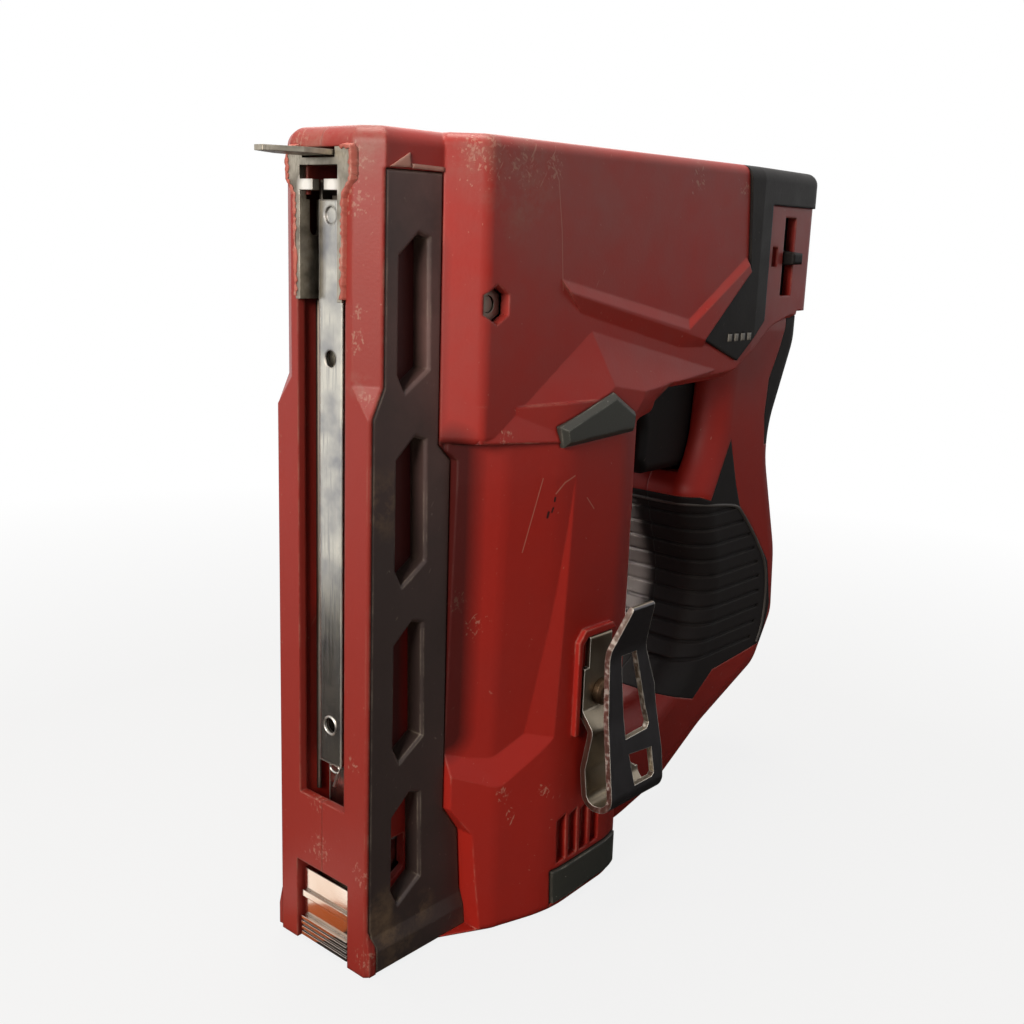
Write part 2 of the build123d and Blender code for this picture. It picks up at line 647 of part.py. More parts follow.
left_trim = {
    "side_guard": left_side_guard,
    "head_cap": left_head_cap,
    "grip_pad": left_grip_pad,
    "back_strap": left_back_strap,
    "front_bumper": left_front_bumper,
}
for trim_name, left_piece in left_trim.items():
    with BuildPart() as right_piece:
        mirror(left_piece.part, about=Plane.XZ)
    finish(right_piece, f"right_{trim_name}")
    with BuildPart() as left_piece_finished:
        add(left_piece.part)
        if trim_name == "head_cap":
            for d in GAUGE_D:
                lens = block((d - 0.9, d + 0.9), (-30, -24.8), (GAUGE_Z - 1.1, GAUGE_Z + 1.1))
                add(lens, mode=Mode.SUBTRACT)
    finish(left_piece_finished, f"left_{trim_name}")


# Belt hook: one bent steel strip, wider on its outer arm, with two windows
HOOK_THICK = 1.7
HOOK_PATH = [
    (-29.5, 77), (-29.5, 56.5), (-33.4, 51.5), (-31.3, 40), (-32.6, 29.3), (-41.4, 30.2), (-38.4, 56),
    (-37.6, 75), (-42.6, 88.2),
]
HOOK_BENDS = [2.2, 2.2, 6, 4, 4, 30, 14]
HOOK_D = (66.8, 91.0)
HOOK_BACK_CUT = [(78, 92), (83.4, 74), (88, 62), (91, 41.5), (100, 41.5), (100, 92)]
HOOK_TIP_CUT = [(60, 76), (66.7, 76), (68, 82), (70, 92), (60, 92)]
HOOK_PLATE_CUT = [(78.4, 95), (78.4, 44), (90, 34), (110, 34), (110, 95)]
HOOK_TALL_WINDOW = [(72, 73.8), (78.8, 73.8), (85.2, 51.2), (84.2, 49.8), (74.2, 49.4)]
HOOK_LOW_WINDOW = [(75.4, 44.8), (86, 43.8), (86.8, 36), (85.6, 35.2), (77.4, 35.2)]
hook_windows = prism(HOOK_TALL_WINDOW, (-FAR, -35.5)) + prism(HOOK_LOW_WINDOW, (-FAR, -35.5))

with BuildPart() as belt_hook:
    with BuildSketch(cross_plane(HOOK_D[0])):
        with BuildLine():
            hook_line = FilletPolyline(*HOOK_PATH, radius=HOOK_BENDS)
            offset(hook_line, amount=HOOK_THICK / 2, side=Side.BOTH, kind=Kind.ARC)
        make_face()
    extrude(amount=HOOK_D[1] - HOOK_D[0])
    add(prism(HOOK_BACK_CUT, (-FAR, -20)), mode=Mode.SUBTRACT)
    add(prism(HOOK_TIP_CUT, (-FAR, -35.5)), mode=Mode.SUBTRACT)
    add(prism(HOOK_PLATE_CUT, (-35.5, -20)), mode=Mode.SUBTRACT)
    add(block((60, 68.8), (-34, -20), (69, 90)), mode=Mode.SUBTRACT)
    add(hook_windows, mode=Mode.SUBTRACT)
    add(rod_y(HOOK_SCREW_D, HOOK_SCREW_Z, 2.2, (-34, -20)), mode=Mode.SUBTRACT)
finish(belt_hook, "belt_hook")


def pan_screw(plane, head_r, head_h, shank_r, shank_l, socket):
    """Round-headed screw whose head sits on the plane and whose shank goes down from it."""
    with BuildPart() as screw:
        with BuildSketch(plane):
            Circle(head_r)
        extrude(amount=head_h)
        chamfer(screw.faces().sort_by(Axis(plane.origin, plane.z_dir))[-1].edges(), length=head_h * 0.35)
        with BuildSketch(plane):
            Circle(shank_r)
        extrude(amount=-shank_l)
        with BuildSketch(plane.offset(head_h)):
            RegularPolygon(socket, 6)
        extrude(amount=-head_h * 0.6, mode=Mode.SUBTRACT)
    return screw.part


def flank_plane(d, z, y):
    """Plane that faces out of the left flank for a negative y, or out of the right one."""
    return Plane(origin=(d - PACK_DEPTH, y, z), x_dir=(1, 0, 0), z_dir=(0, 1 if y > 0 else -1, 0))


with BuildPart() as belt_hook_screw:
    add(pan_screw(flank_plane(HOOK_SCREW_D, HOOK_SCREW_Z, -29.5 - HOOK_THICK / 2), 3.8, 2.4, 1.8, 6.6, 1.7))
finish(belt_hook_screw, "belt_hook_screw")

with BuildPart() as housing_screws:
    for d, z in SCREW_PLACES:
        add(pan_screw(flank_plane(d, z, SCREW_SEAT_Y - 2.4), SCREW_HEAD_R, 2.2, SCREW_R, 23.5, 1.5))
finish(housing_screws, "housing_screws")

with BuildPart() as nose_bolt:
    add(pan_screw(flank_plane(NUT_D, NUT_Z, 21.0), 3.8, 2.6, 2.0, 42.4, 1.8))
finish(nose_bolt, "nose_bolt")

with BuildPart() as nose_nut:
    with BuildSketch(side_plane(-NUT_SEAT)):
        with Locations((NUT_D, NUT_Z)):
            RegularPolygon(NUT_FLATS / 2, 6, major_radius=False, rotation=30)
            Circle(2.0 + SHAFT_GAP, mode=Mode.SUBTRACT)
    extrude(amount=3.2)
finish(nose_nut, "nose_nut")

# Charge gauge: four small lenses in the left head cap
with BuildPart() as gauge_lenses:
    for d in GAUGE_D:
        add(block((d - 0.9, d + 0.9), (-26.1, -24.8), (GAUGE_Z - 1.1, GAUGE_Z + 1.1)))
finish(gauge_lenses, "gauge_lenses")

# Nose: steel plate with the staple slot, its lower edge split, and two flanges down the sides of the opening
SLOT_HALF = 6.6
SLOT_Z = (194.4, 197.4)
CHANNEL_HALF = 6.55

with BuildPart() as nose_plate:
    with BuildSketch(cross_plane(PLATE_FACE)):
        Polygon(*plate_outline(0), align=None)
        with Locations((0, (SLOT_Z[0] + SLOT_Z[1]) / 2)):
            Rectangle(2 * SLOT_HALF, SLOT_Z[1] - SLOT_Z[0], mode=Mode.SUBTRACT)
        with Locations((0, 190)):
            Rectangle(4, 10, mode=Mode.SUBTRACT)
            Rectangle(2 * CHANNEL_HALF, 4, mode=Mode.SUBTRACT)
        with Locations((0, 200.2)):
            Rectangle(2 * ARM_HALF + 0.7, 2.4, mode=Mode.SUBTRACT)
    extrude(amount=PLATE_BACK - PLATE_FACE)
    for y in ((-FLANGE_HALF, -CHANNEL_HALF), (CHANNEL_HALF, FLANGE_HALF)):
        add(block((PLATE_FACE, FLANGE_BACK), y, (167.5, 190)))
    add(block((2.2, 5.4), (-9, 9), (183.5, 191)), mode=Mode.SUBTRACT)
    add(rod_y(3.8, 183.5, 1.6, (-9, 9)), mode=Mode.SUBTRACT)
finish(nose_plate, "nose_plate")

# Contact arm: a thin steel tongue that the work pushes in
ARM_END = 46.0
with BuildPart() as contact_arm:
    with BuildSketch(level_plane(ARM_Z[0])):
        Polygon(
            (-ARM_REACH, 1.4), (-ARM_REACH + 8, ARM_HALF), (ARM_END, ARM_HALF),
            (ARM_END, -ARM_HALF), (-ARM_REACH + 8, -ARM_HALF), (-ARM_REACH, -1.4), align=None,
        )
    extrude(amount=ARM_Z[1] - ARM_Z[0])
    add(block((ARM_END - 1.5, ARM_END), (-4, 4), (ARM_Z[0], 202.6)))
finish(contact_arm, "contact_arm")


# Drive train


def involute(angle):
    """Involute function of a pressure angle."""
    return tan(angle) - angle


def gear_outline(module, teeth, d, z, phase):
    """Involute gear seen from the side: root, pitch and tip points on both flanks of every tooth."""
    pitch_r = module * teeth / 2
    base_r = pitch_r * cos(PRESSURE)
    half_pitch_angle = (pi * module / 2 - BACKLASH) / (2 * pitch_r)
    flank = []
    for r in (pitch_r - 1.25 * module, pitch_r, pitch_r + module):
        pressure = acos(min(1.0, base_r / r))
        flank.append((r, half_pitch_angle + involute(PRESSURE) - involute(pressure)))
    points = []
    for tooth in range(teeth):
        centre = phase + 2 * pi * tooth / teeth
        for r, half in flank:
            points.append((d + r * cos(centre - half), z + r * sin(centre - half)))
        for r, half in reversed(flank):
            points.append((d + r * cos(centre + half), z + r * sin(centre + half)))
    return points


def gear(module, teeth, d, phase, y):
    """Spur gear on an axle of the drive train, between two y."""
    return prism(gear_outline(module, teeth, d, AXLE_Z, phase), y)


LIFT_WHEEL_Y = (7.5, 12.5)
IDLER_WHEEL_Y = (13.6, 17.0)
LIFT_PINION_Y = (-4.5, 4.5)

with BuildPart() as lift_pinion:
    add(gear(LIFT_MODULE, LIFT_TEETH, LIFT_D, pi / 2 + pi / LIFT_TEETH, LIFT_PINION_Y))
    add(rod_y(LIFT_D, AXLE_Z, LIFT_SHAFT_R + SHAFT_GAP, (-6, 6)), mode=Mode.SUBTRACT)
finish(lift_pinion, "lift_pinion")

with BuildPart() as lift_wheel:
    add(gear(TRAIN_MODULE, WHEEL_TEETH, LIFT_D, 0, LIFT_WHEEL_Y))
    add(rod_y(LIFT_D, AXLE_Z, LIFT_SHAFT_R + SHAFT_GAP, (6, 14)), mode=Mode.SUBTRACT)
finish(lift_wheel, "lift_wheel")

with BuildPart() as lift_shaft:
    add(rod_y(LIFT_D, AXLE_Z, LIFT_SHAFT_R, (-17, 21)))
finish(lift_shaft, "lift_shaft")

with BuildPart() as shaft_bushes:
    for y in ((-17, -13), (17.5, 21)):
        add(rod_y(LIFT_D, AXLE_Z, BUSH_R, y))
        add(rod_y(LIFT_D, AXLE_Z, LIFT_SHAFT_R + SHAFT_GAP, (y[0] - 1, y[1] + 1)), mode=Mode.SUBTRACT)
finish(shaft_bushes, "shaft_bushes")

with BuildPart() as idler_gear:
    add(gear(TRAIN_MODULE, PINION_TEETH, IDLER_D, pi + pi / PINION_TEETH, (7.0, 13.7)))
    add(gear(TRAIN_MODULE, WHEEL_TEETH, IDLER_D, 0, IDLER_WHEEL_Y))
    add(rod_y(IDLER_D, AXLE_Z, IDLER_SHAFT_R + SHAFT_GAP, (6, 18)), mode=Mode.SUBTRACT)
finish(idler_gear, "idler_gear")

with BuildPart() as idler_shaft:
    add(rod_y(IDLER_D, AXLE_Z, IDLER_SHAFT_R, (-17, 21)))
finish(idler_shaft, "idler_shaft")

MOTOR_SHAFT_R = 1.15
with BuildPart() as motor_can:
    with BuildSketch(flank_plane(MOTOR_D, AXLE_Z, -18)):
        Circle(MOTOR_R)
    extrude(amount=-30)
    chamfer(motor_can.faces().filter_by(Axis.Y).edges(), length=1.2)
    add(rod_y(MOTOR_D, AXLE_Z, 5, (11, 13)))
    add(rod_y(MOTOR_D, AXLE_Z, MOTOR_SHAFT_R + SHAFT_GAP, (-20, 15)), mode=Mode.SUBTRACT)
finish(motor_can, "motor_can")

with BuildPart() as motor_shaft:
    add(rod_y(MOTOR_D, AXLE_Z, MOTOR_SHAFT_R, (-19.5, 17.6)))
finish(motor_shaft, "motor_shaft")

with BuildPart() as motor_pinion:
    add(gear(TRAIN_MODULE, PINION_TEETH, MOTOR_D, pi + pi / PINION_TEETH, (13.4, 17.2)))
    add(rod_y(MOTOR_D, AXLE_Z, MOTOR_SHAFT_R + SHAFT_GAP, (12, 18)), mode=Mode.SUBTRACT)
finish(motor_pinion, "motor_pinion")

# Driver: carriage on two rods, rack under it, blade in front
CARRIAGE_D = (60.0, 80.0)
CARRIAGE_Z = (181.0, 198.0)
FRAME_D = (34.0, 119.0)
FRAME_Z = (180.6, 198.4)
FRAME_PLATE = 2.6
ROD_Y = 10.5
ROD_Z = 189.5
ROD_R = 2.0
RACK_END = 115.5
RACK_TEETH = range(-2, 7)


def rack_outline():
    """Side outline of the rack bar, with its teeth pointing down at the lift pinion."""
    half = (pi * LIFT_MODULE / 2 - BACKLASH) / 2
    tip = (RACK_PITCH_Z - LIFT_MODULE, half - LIFT_MODULE * tan(PRESSURE))
    root = (RACK_PITCH_Z + 1.25 * LIFT_MODULE, half + 1.25 * LIFT_MODULE * tan(PRESSURE))
    points = [(CARRIAGE_D[0], 180.2), (CARRIAGE_D[0], root[0])]
    for tooth in RACK_TEETH:
        d = LIFT_D + tooth * pi * LIFT_MODULE
        points += [(d - root[1], root[0]), (d - tip[1], tip[0]), (d + tip[1], tip[0]), (d + root[1], root[0])]
    return points + [(RACK_END, root[0]), (RACK_END, 180.2)]


with BuildPart() as driver_carriage:
    add(block(CARRIAGE_D, (-13.0, 13.0), CARRIAGE_Z))
    add(prism(rack_outline(), (-4.0, 4.0)))
    add(block(CARRIAGE_D, (-4.0, 4.0), (179, 182)))
    add(block((59, 68), (-BLADE_HALF, BLADE_HALF), (STAPLE_Z - BLADE_THICK / 2, 199)), mode=Mode.SUBTRACT)
    for y in (-ROD_Y, ROD_Y):
        add(rod_x(y, ROD_Z, ROD_R + SHAFT_GAP, (59, 81)), mode=Mode.SUBTRACT)
finish(driver_carriage, "driver_carriage")

with BuildPart() as driver_blade:
    add(block((18, 68), (-BLADE_HALF, BLADE_HALF), (STAPLE_Z - BLADE_THICK / 2, STAPLE_Z + BLADE_THICK / 2)))
finish(driver_blade, "driver_blade")

with BuildPart() as guide_frame:
    with BuildSketch(level_plane(FRAME_Z[0])):
        with Locations(((FRAME_D[0] + FRAME_D[1]) / 2, 0)):
            Rectangle(FRAME_D[1] - FRAME_D[0], 2 * FRAME_HALF)
            Rectangle(FRAME_D[1] - FRAME_D[0] - 2 * FRAME_PLATE, 2 * FRAME_HALF - 3.2, mode=Mode.SUBTRACT)
    extrude(amount=FRAME_Z[1] - FRAME_Z[0])
    add(block((64, 66), (-FRAME_HALF, FRAME_HALF), (198.4, 202.6)))
    add(block((33, 37), (-5.6, 5.6), (195.0, 197.4)), mode=Mode.SUBTRACT)
    for y in (-ROD_Y, ROD_Y):
        add(rod_x(y, ROD_Z, ROD_R + SHAFT_GAP, (33, 120)), mode=Mode.SUBTRACT)
finish(guide_frame, "guide_frame")

with BuildPart() as guide_rods:
    for y in (-ROD_Y, ROD_Y):
        add(rod_x(y, ROD_Z, ROD_R, FRAME_D))
finish(guide_rods, "guide_rods")

with BuildPart() as buffer:
    add(block((FRAME_D[0] + FRAME_PLATE, 39.6), (-7.5, 7.5), (182.5, 194.5)))
    fillet(buffer.edges().filter_by(Axis.X), radius=2)
finish(buffer, "buffer")


def coil(plane, radius, wire_r, length, turns):
    """Coil of six-sided wire along a plane's normal, on quarter-turn arcs, its wire inside the length."""
    rise = length - 2 * wire_r
    steps = 4 * turns
    with BuildPart() as spring:
        with BuildLine(plane.offset(wire_r)) as path:
            for i in range(steps):
                at = [(i + k) * pi / 2 for k in (0, 0.5, 1)]
                height = [rise * (i + k) / steps for k in (0, 0.5, 1)]
                ThreePointArc(*[(radius * cos(a), radius * sin(a), h) for a, h in zip(at, height)])
        with BuildSketch(Plane(path.line @ 0, z_dir=path.line % 0)):
            RegularPolygon(wire_r, 6)
        sweep(path=path.line)
    return spring.part


def coil_along_depth(z, radius, wire_r, d, turns):
    """Coil on the mid plane whose axis runs from the work face towards the grip."""
    seat = Plane(origin=(d[0] - PACK_DEPTH, 0, z), x_dir=(0, 1, 0), z_dir=(1, 0, 0))
    return coil(seat, radius, wire_r, d[1] - d[0], turns)


with BuildPart() as drive_spring:
    add(coil_along_depth(ROD_Z, 6.3, 1.1, (80.2, 116.2), 7))
finish(drive_spring, "drive_spring")

with BuildPart() as contact_spring:
    add(coil_along_depth(200.6, 1.55, 0.25, (ARM_END + 0.2, 63.8), 6))
finish(contact_spring, "contact_spring")

# Magazine: rail that the staples straddle, pulled out at the tail with its pusher
RAIL_FACE = 2.8
RAIL_CREST = 16.4
RAIL_HALF = 4.1
RAIL_WALL = 1.1
RAIL_Z = (52.0, 190.0)
RAIL_DIMPLE_Z = 186.6
RAIL_HOLE_Z = (62.4, 154.0)
RAIL_HOLE_R = 2.0
PULL_D = (2.8, 20.4)
PULL_HALF = 9.0
PULL_Z = (17.0, 30.0)
PULL_STEP = (6.9, 23.4)
LATCH_D = 12.5
LATCH_Z = 8.5
LATCH_PIN_R = 1.5
EAR_Y = (7.4, 9.0)
PUSHER_ROD_D = 10.0
PUSHER_ROD_R = 1.5
RAIL_INNER = RAIL_HALF - RAIL_WALL

with BuildPart() as staple_rail:
    add(block((RAIL_FACE, RAIL_CREST), (-RAIL_HALF, RAIL_HALF), RAIL_Z))
    add(block((6, RAIL_CREST), (-RAIL_HALF, RAIL_HALF), (PULL_Z[1] - 1, RAIL_Z[0] + 1)))
    inner_d = (RAIL_FACE + RAIL_WALL, RAIL_CREST + 1)
    add(block(inner_d, (-RAIL_INNER, RAIL_INNER), (RAIL_Z[0] + RAIL_WALL, 195)), mode=Mode.SUBTRACT)
    add(block((7.1, RAIL_CREST + 1), (-RAIL_INNER, RAIL_INNER), (PULL_Z[1], 60)), mode=Mode.SUBTRACT)
    add(rod_x(0, RAIL_DIMPLE_Z, RAIL_HOLE_R, (0, RAIL_FACE + 0.5)), mode=Mode.SUBTRACT)
    for z in RAIL_HOLE_Z:
        add(rod_x(0, z, RAIL_HOLE_R, (0, 6)), mode=Mode.SUBTRACT)
    add(block(PULL_D, (-PULL_HALF, PULL_HALF), (PULL_STEP[1], PULL_Z[1])))
    add(block((PULL_STEP[0], PULL_D[1]), (-PULL_HALF, PULL_HALF), (PULL_Z[0], PULL_STEP[1] + 0.5)))
    for ear in (EAR_Y, (-EAR_Y[1], -EAR_Y[0])):
        add(block((8.5, 16.5), ear, (4.0, PULL_Z[0] + 1)))
    add(rod_y(LATCH_D, LATCH_Z, LATCH_PIN_R + SHAFT_GAP, (-10, 10)), mode=Mode.SUBTRACT)
    add(rod_z(PUSHER_ROD_D, 0, PUSHER_ROD_R + SHAFT_GAP, (22, 31)), mode=Mode.SUBTRACT)
finish(staple_rail, "staple_rail")

with BuildPart() as latch_pin:
    add(rod_y(LATCH_D, LATCH_Z, LATCH_PIN_R, (-EAR_Y[1], EAR_Y[1])))
finish(latch_pin, "latch_pin")

LATCH_HALF = 9.0
LATCH_BACK = 3.4
with BuildPart() as channel_latch:
    add(block((1.8, LATCH_BACK), (-LATCH_HALF, LATCH_HALF), (0.9, 20)))
    add(block((0.6, LATCH_BACK), (-LATCH_HALF, LATCH_HALF), (0.9, 6.4)))
    add(block((1.0, LATCH_BACK), (-LATCH_HALF, LATCH_HALF), (12, 13.8)))
    for z in (1.9, 3.4, 4.9):
        add(block((0, 1.1), (-10, 10), (z, z + 0.7)), mode=Mode.SUBTRACT)
    add(block((LATCH_BACK - 0.2, LATCH_D), (-7, 7), (LATCH_Z - 2, LATCH_Z + 2)))
    add(rod_y(LATCH_D, LATCH_Z, 3, (-7, 7)))
    add(rod_y(LATCH_D, LATCH_Z, LATCH_PIN_R + SHAFT_GAP, (-8, 8)), mode=Mode.SUBTRACT)
finish(channel_latch, "channel_latch")

with BuildPart() as pusher_rod:
    add(rod_z(PUSHER_ROD_D, 0, PUSHER_ROD_R, (22, 188)))
    fillet(pusher_rod.faces().sort_by(Axis.Z)[-1].edges(), radius=1.2)
finish(pusher_rod, "pusher_rod")

PUSHER_Z = (170.0, 194.4)
with BuildPart() as pusher:
    add(block((5.5, 17.0), (-2.6, 2.6), (PUSHER_Z[0], 191)))
    add(block((16.8, 18.4), (-5.3, 5.3), PUSHER_Z))
    for y in ((-5.3, -4.4), (4.4, 5.3)):
        add(block((4, 17), y, (176, PUSHER_Z[1])))
    add(rod_z(PUSHER_ROD_D, 0, PUSHER_ROD_R + SHAFT_GAP, (160, 200)), mode=Mode.SUBTRACT)
finish(pusher, "pusher")

with BuildPart() as pusher_spring:
    seat = Plane(origin=(PUSHER_ROD_D - PACK_DEPTH, 0, PULL_Z[1] + 0.2))
    add(coil(seat, 2.15, 0.3, PUSHER_Z[0] - PULL_Z[1] - 0.4, 8))
finish(pusher_spring, "pusher_spring")

# Battery pack: case, end cap, three cells and contact clips, with a release tab on each flank
CONTACT_D = (57.0, 65.0, 73.0)
BLADE_CONTACT_Z = (84.0, 104.0)
TAB_STEM_D = (63.0, 67.0)
TAB_STEM_Z = (4.6, 9.2)
LIP_TOP = 2.5

with BuildPart() as battery_case:
    add(rod_z(PACK_DEPTH, 0, PACK_STEM_R, (END_CAP_THICK, PACK_TOP)))
    chamfer(battery_case.faces().sort_by(Axis.Z)[-1].edges(), length=2.4)
    add(rod_z(PACK_DEPTH, 0, PACK_BASE_R, (END_CAP_THICK, PACK_BASE_TOP)))
    add(rod_z(PACK_DEPTH, 0, PACK_STEM_R - PACK_WALL, (0, PACK_TOP - 2)), mode=Mode.SUBTRACT)
    for d in CONTACT_D:
        add(block((d - 3, d + 3), (-0.9, 0.9), (PACK_TOP - 3, PACK_TOP + 1)), mode=Mode.SUBTRACT)
    stem_hole_d = (TAB_STEM_D[0] - SLIDE_GAP, TAB_STEM_D[1] + SLIDE_GAP)
    stem_hole_z = (TAB_STEM_Z[0] - SLIDE_GAP, TAB_STEM_Z[1] + SLIDE_GAP)
    add(block(stem_hole_d, (-30, 30), stem_hole_z), mode=Mode.SUBTRACT)
finish(battery_case, "battery_case")

left_lip = block(TAB_D, (-FAR, 0), (0, LIP_TOP)) & body_form.part
left_lip = left_lip - rod_z(PACK_DEPTH, 0, PACK_BASE_R - 0.6, (-1, LIP_TOP + 1))
with BuildPart() as battery_end_cap:
    add(rod_z(PACK_DEPTH, 0, PACK_BASE_R, (0, END_CAP_THICK)))
    chamfer(battery_end_cap.faces().sort_by(Axis.Z)[0].edges(), length=0.6)
    add(left_lip)
    mirror(left_lip, about=Plane.XZ)
finish(battery_end_cap, "battery_end_cap")

with BuildPart() as battery_cells:
    for i in range(3):
        angle = 2 * pi * i / 3
        cell_d = PACK_DEPTH + CELL_RING_R * cos(angle)
        add(rod_z(cell_d, CELL_RING_R * sin(angle), CELL_R, (CELL_FOOT, CELL_FOOT + CELL_LENGTH)))
finish(battery_cells, "battery_cells")

with BuildPart() as battery_contacts:
    for d in CONTACT_D:
        add(block((d - 3, d + 3), (-1.4, 1.4), (79, 95.5)))
        add(block((d - 4, d + 4), (-0.7, 0.7), (80, 97)), mode=Mode.SUBTRACT)
finish(battery_contacts, "battery_contacts")

with BuildPart() as terminal_blades:
    for d in CONTACT_D:
        add(block((d - 2.5, d + 2.5), (-0.4, 0.4), BLADE_CONTACT_Z))
finish(terminal_blades, "terminal_blades")

with BuildPart() as terminal_block:
    add(rod_z(PACK_DEPTH, 0, 17.5, (99.5, BAY_TOP)))
    add(terminal_blades.part, mode=Mode.SUBTRACT)
finish(terminal_block, "terminal_block")

left_tab_form = block(TAB_D, (-FAR, 0), TAB_Z) & body_tail(TAB_PROUD)
with BuildPart() as left_release_tab:
    add(left_tab_form)
    add(rod_z(PACK_DEPTH, 0, TAB_INNER_R, (-1, 30)), mode=Mode.SUBTRACT)
    add(body_core(TAB_THICK), mode=Mode.SUBTRACT)
    add(block(TAB_STEM_D, (-26.5, -21.5), TAB_STEM_Z))
finish(left_release_tab, "left_release_tab")

with BuildPart() as right_release_tab:
    mirror(left_release_tab.part, about=Plane.XZ)
finish(right_release_tab, "right_release_tab")

# Trigger, its spring and switch, the mode selector and the electronics
TRIGGER_OUTLINE = [
    (117, 141.4), (115.5, 137), (118, 127), (117, 117), (119.5, 112.8), (150, 112.8), (150, 141.4),
]
TRIGGER_HALF = 9.0
TRIGGER_SPRING_Z = 127.0

with BuildPart() as trigger:
    with BuildSketch(side_plane(0)):
        with BuildLine():
            FilletPolyline(*TRIGGER_OUTLINE, radius=[2, 5, 8, 5, 3, 0, 0], close=True)
        make_face()
    extrude(amount=TRIGGER_HALF, both=True)
    front = trigger.faces().filter_by(Axis.Y).edges().filter_by(lambda e: e.center().X < 121 - PACK_DEPTH)
    fillet(front, radius=3)
    add(rod_x(0, TRIGGER_SPRING_Z, 3.6, (140, 151)), mode=Mode.SUBTRACT)
finish(trigger, "trigger")

with BuildPart() as trigger_spring:
    add(coil_along_depth(TRIGGER_SPRING_Z, 2.6, 0.4, (140.2, 158.8), 6))
finish(trigger_spring, "trigger_spring")

with BuildPart() as trigger_switch:
    add(block((159, 175), (-SWITCH_HALF, SWITCH_HALF), (115, 139)))
    chamfer(trigger_switch.edges().filter_by(Axis.Y), length=1.2)
finish(trigger_switch, "trigger_switch")

with BuildPart() as mode_selector:
    add(block((165.2, 180.2), (-18.5, -17), (166.9, 192.1)))
    add(block((170, 176), (-17.1, -14.5), (177, 181)))
    with BuildSketch(side_plane(-18)):
        with Locations((173.6, 179)):
            Rectangle(7.4, 5)
    extrude(amount=8, taper=6)
    fillet(mode_selector.faces().sort_by(Axis.Y)[0].edges(), radius=0.8)
finish(mode_selector, "mode_selector")

with BuildPart() as selector_switch:
    add(block((164, 173), (-14.2, -8), (170, 188)))
finish(selector_switch, "selector_switch")

with BuildPart() as circuit_board:
    add(block((150, 170), BOARD_Y, (56, 102)))
    for z in (62, 78, 92):
        add(block((154, 166), (-2, BOARD_Y[0] + 0.1), (z, z + 7)))
finish(circuit_board, "circuit_board")
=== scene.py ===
import json
import math
import random

import bmesh
import bpy
from mathutils import Matrix, Vector


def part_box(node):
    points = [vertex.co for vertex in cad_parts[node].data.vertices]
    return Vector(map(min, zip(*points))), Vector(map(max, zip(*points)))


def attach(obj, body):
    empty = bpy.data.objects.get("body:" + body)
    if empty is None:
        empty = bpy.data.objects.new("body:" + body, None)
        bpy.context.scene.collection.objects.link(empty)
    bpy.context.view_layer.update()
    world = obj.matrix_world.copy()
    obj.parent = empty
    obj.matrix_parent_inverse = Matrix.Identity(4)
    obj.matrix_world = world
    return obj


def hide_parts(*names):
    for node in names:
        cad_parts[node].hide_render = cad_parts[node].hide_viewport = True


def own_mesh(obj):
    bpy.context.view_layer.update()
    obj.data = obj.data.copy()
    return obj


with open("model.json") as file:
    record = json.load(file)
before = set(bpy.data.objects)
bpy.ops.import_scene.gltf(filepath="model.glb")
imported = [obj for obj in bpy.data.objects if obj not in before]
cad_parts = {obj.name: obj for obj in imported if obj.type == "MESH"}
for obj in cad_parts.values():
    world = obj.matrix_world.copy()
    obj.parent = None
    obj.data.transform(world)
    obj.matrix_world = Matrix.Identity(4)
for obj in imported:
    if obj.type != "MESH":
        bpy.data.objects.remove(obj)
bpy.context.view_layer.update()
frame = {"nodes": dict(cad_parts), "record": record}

nodes = frame["nodes"]
MM = 0.001
SIDES = ((-1, "left"), (1, "right"))


def linear(code):
    """sRGB hex value as a linear colour with full alpha."""
    parts = [int(code[i:i + 2], 16) / 255 for i in (1, 3, 5)]
    return [c / 12.92 if c <= 0.04045 else ((c + 0.055) / 1.055) ** 2.4 for c in parts] + [1.0]


def per_mm(size):
    """Texture scale whose cells are about this many millimetres wide."""
    return 1000.0 / size


def add_node(tree, kind, settings=None, links=None):
    """Add a node, set its inputs or properties by name, and link (own input, node, output) triples."""
    new = tree.nodes.new("ShaderNode" + kind)
    for key, value in (settings or {}).items():
        if isinstance(key, int) or (not hasattr(new, key) and key in new.inputs):
            new.inputs[key].default_value = value
        else:
            setattr(new, key, value)
    for own, source, output in links or []:
        tree.links.new(source.outputs[output], new.inputs[own])
    return new


def new_material(name, **shader_values):
    """Material with one Principled shader whose plain values are set on its own sockets."""
    material = bpy.data.materials.new(name)
    material.use_nodes = True
    tree = material.node_tree
    shader = tree.nodes["Principled BSDF"]
    for key, value in shader_values.items():
        shader.inputs[key.replace("_", " ")].default_value = value
    return material, tree, shader


def feed(tree, source, shader, socket):
    """Link a (node, output) pair into one of the shader's sockets."""
    tree.links.new(source[0].outputs[source[1]], shader.inputs[socket])


def strongest(tree, masks):
    """The largest of several masks, each a (node, output) pair."""
    first, *rest = masks
    for node, output in rest:
        larger = add_node(tree, "Math", {"operation": "MAXIMUM"}, [(0, *first), (1, node, output)])
        first = (larger, "Value")
    return first


# Share of a mark's reach within which its mask is full
SPOT_CORE = 0.3
LINE_CORE = 0.4


def spot(tree, place, centre, radius):
    """Mask round a point of the tool, in millimetres: full at its middle, gone at the radius."""
    away = add_node(tree, "VectorMath", {"operation": "DISTANCE", 1: [c * MM for c in centre]},
                    [(0, place, "Object")])
    return add_node(tree, "MapRange", {"From Min": radius * MM, "From Max": radius * SPOT_CORE * MM},
                    [("Value", away, "Value")]), "Result"


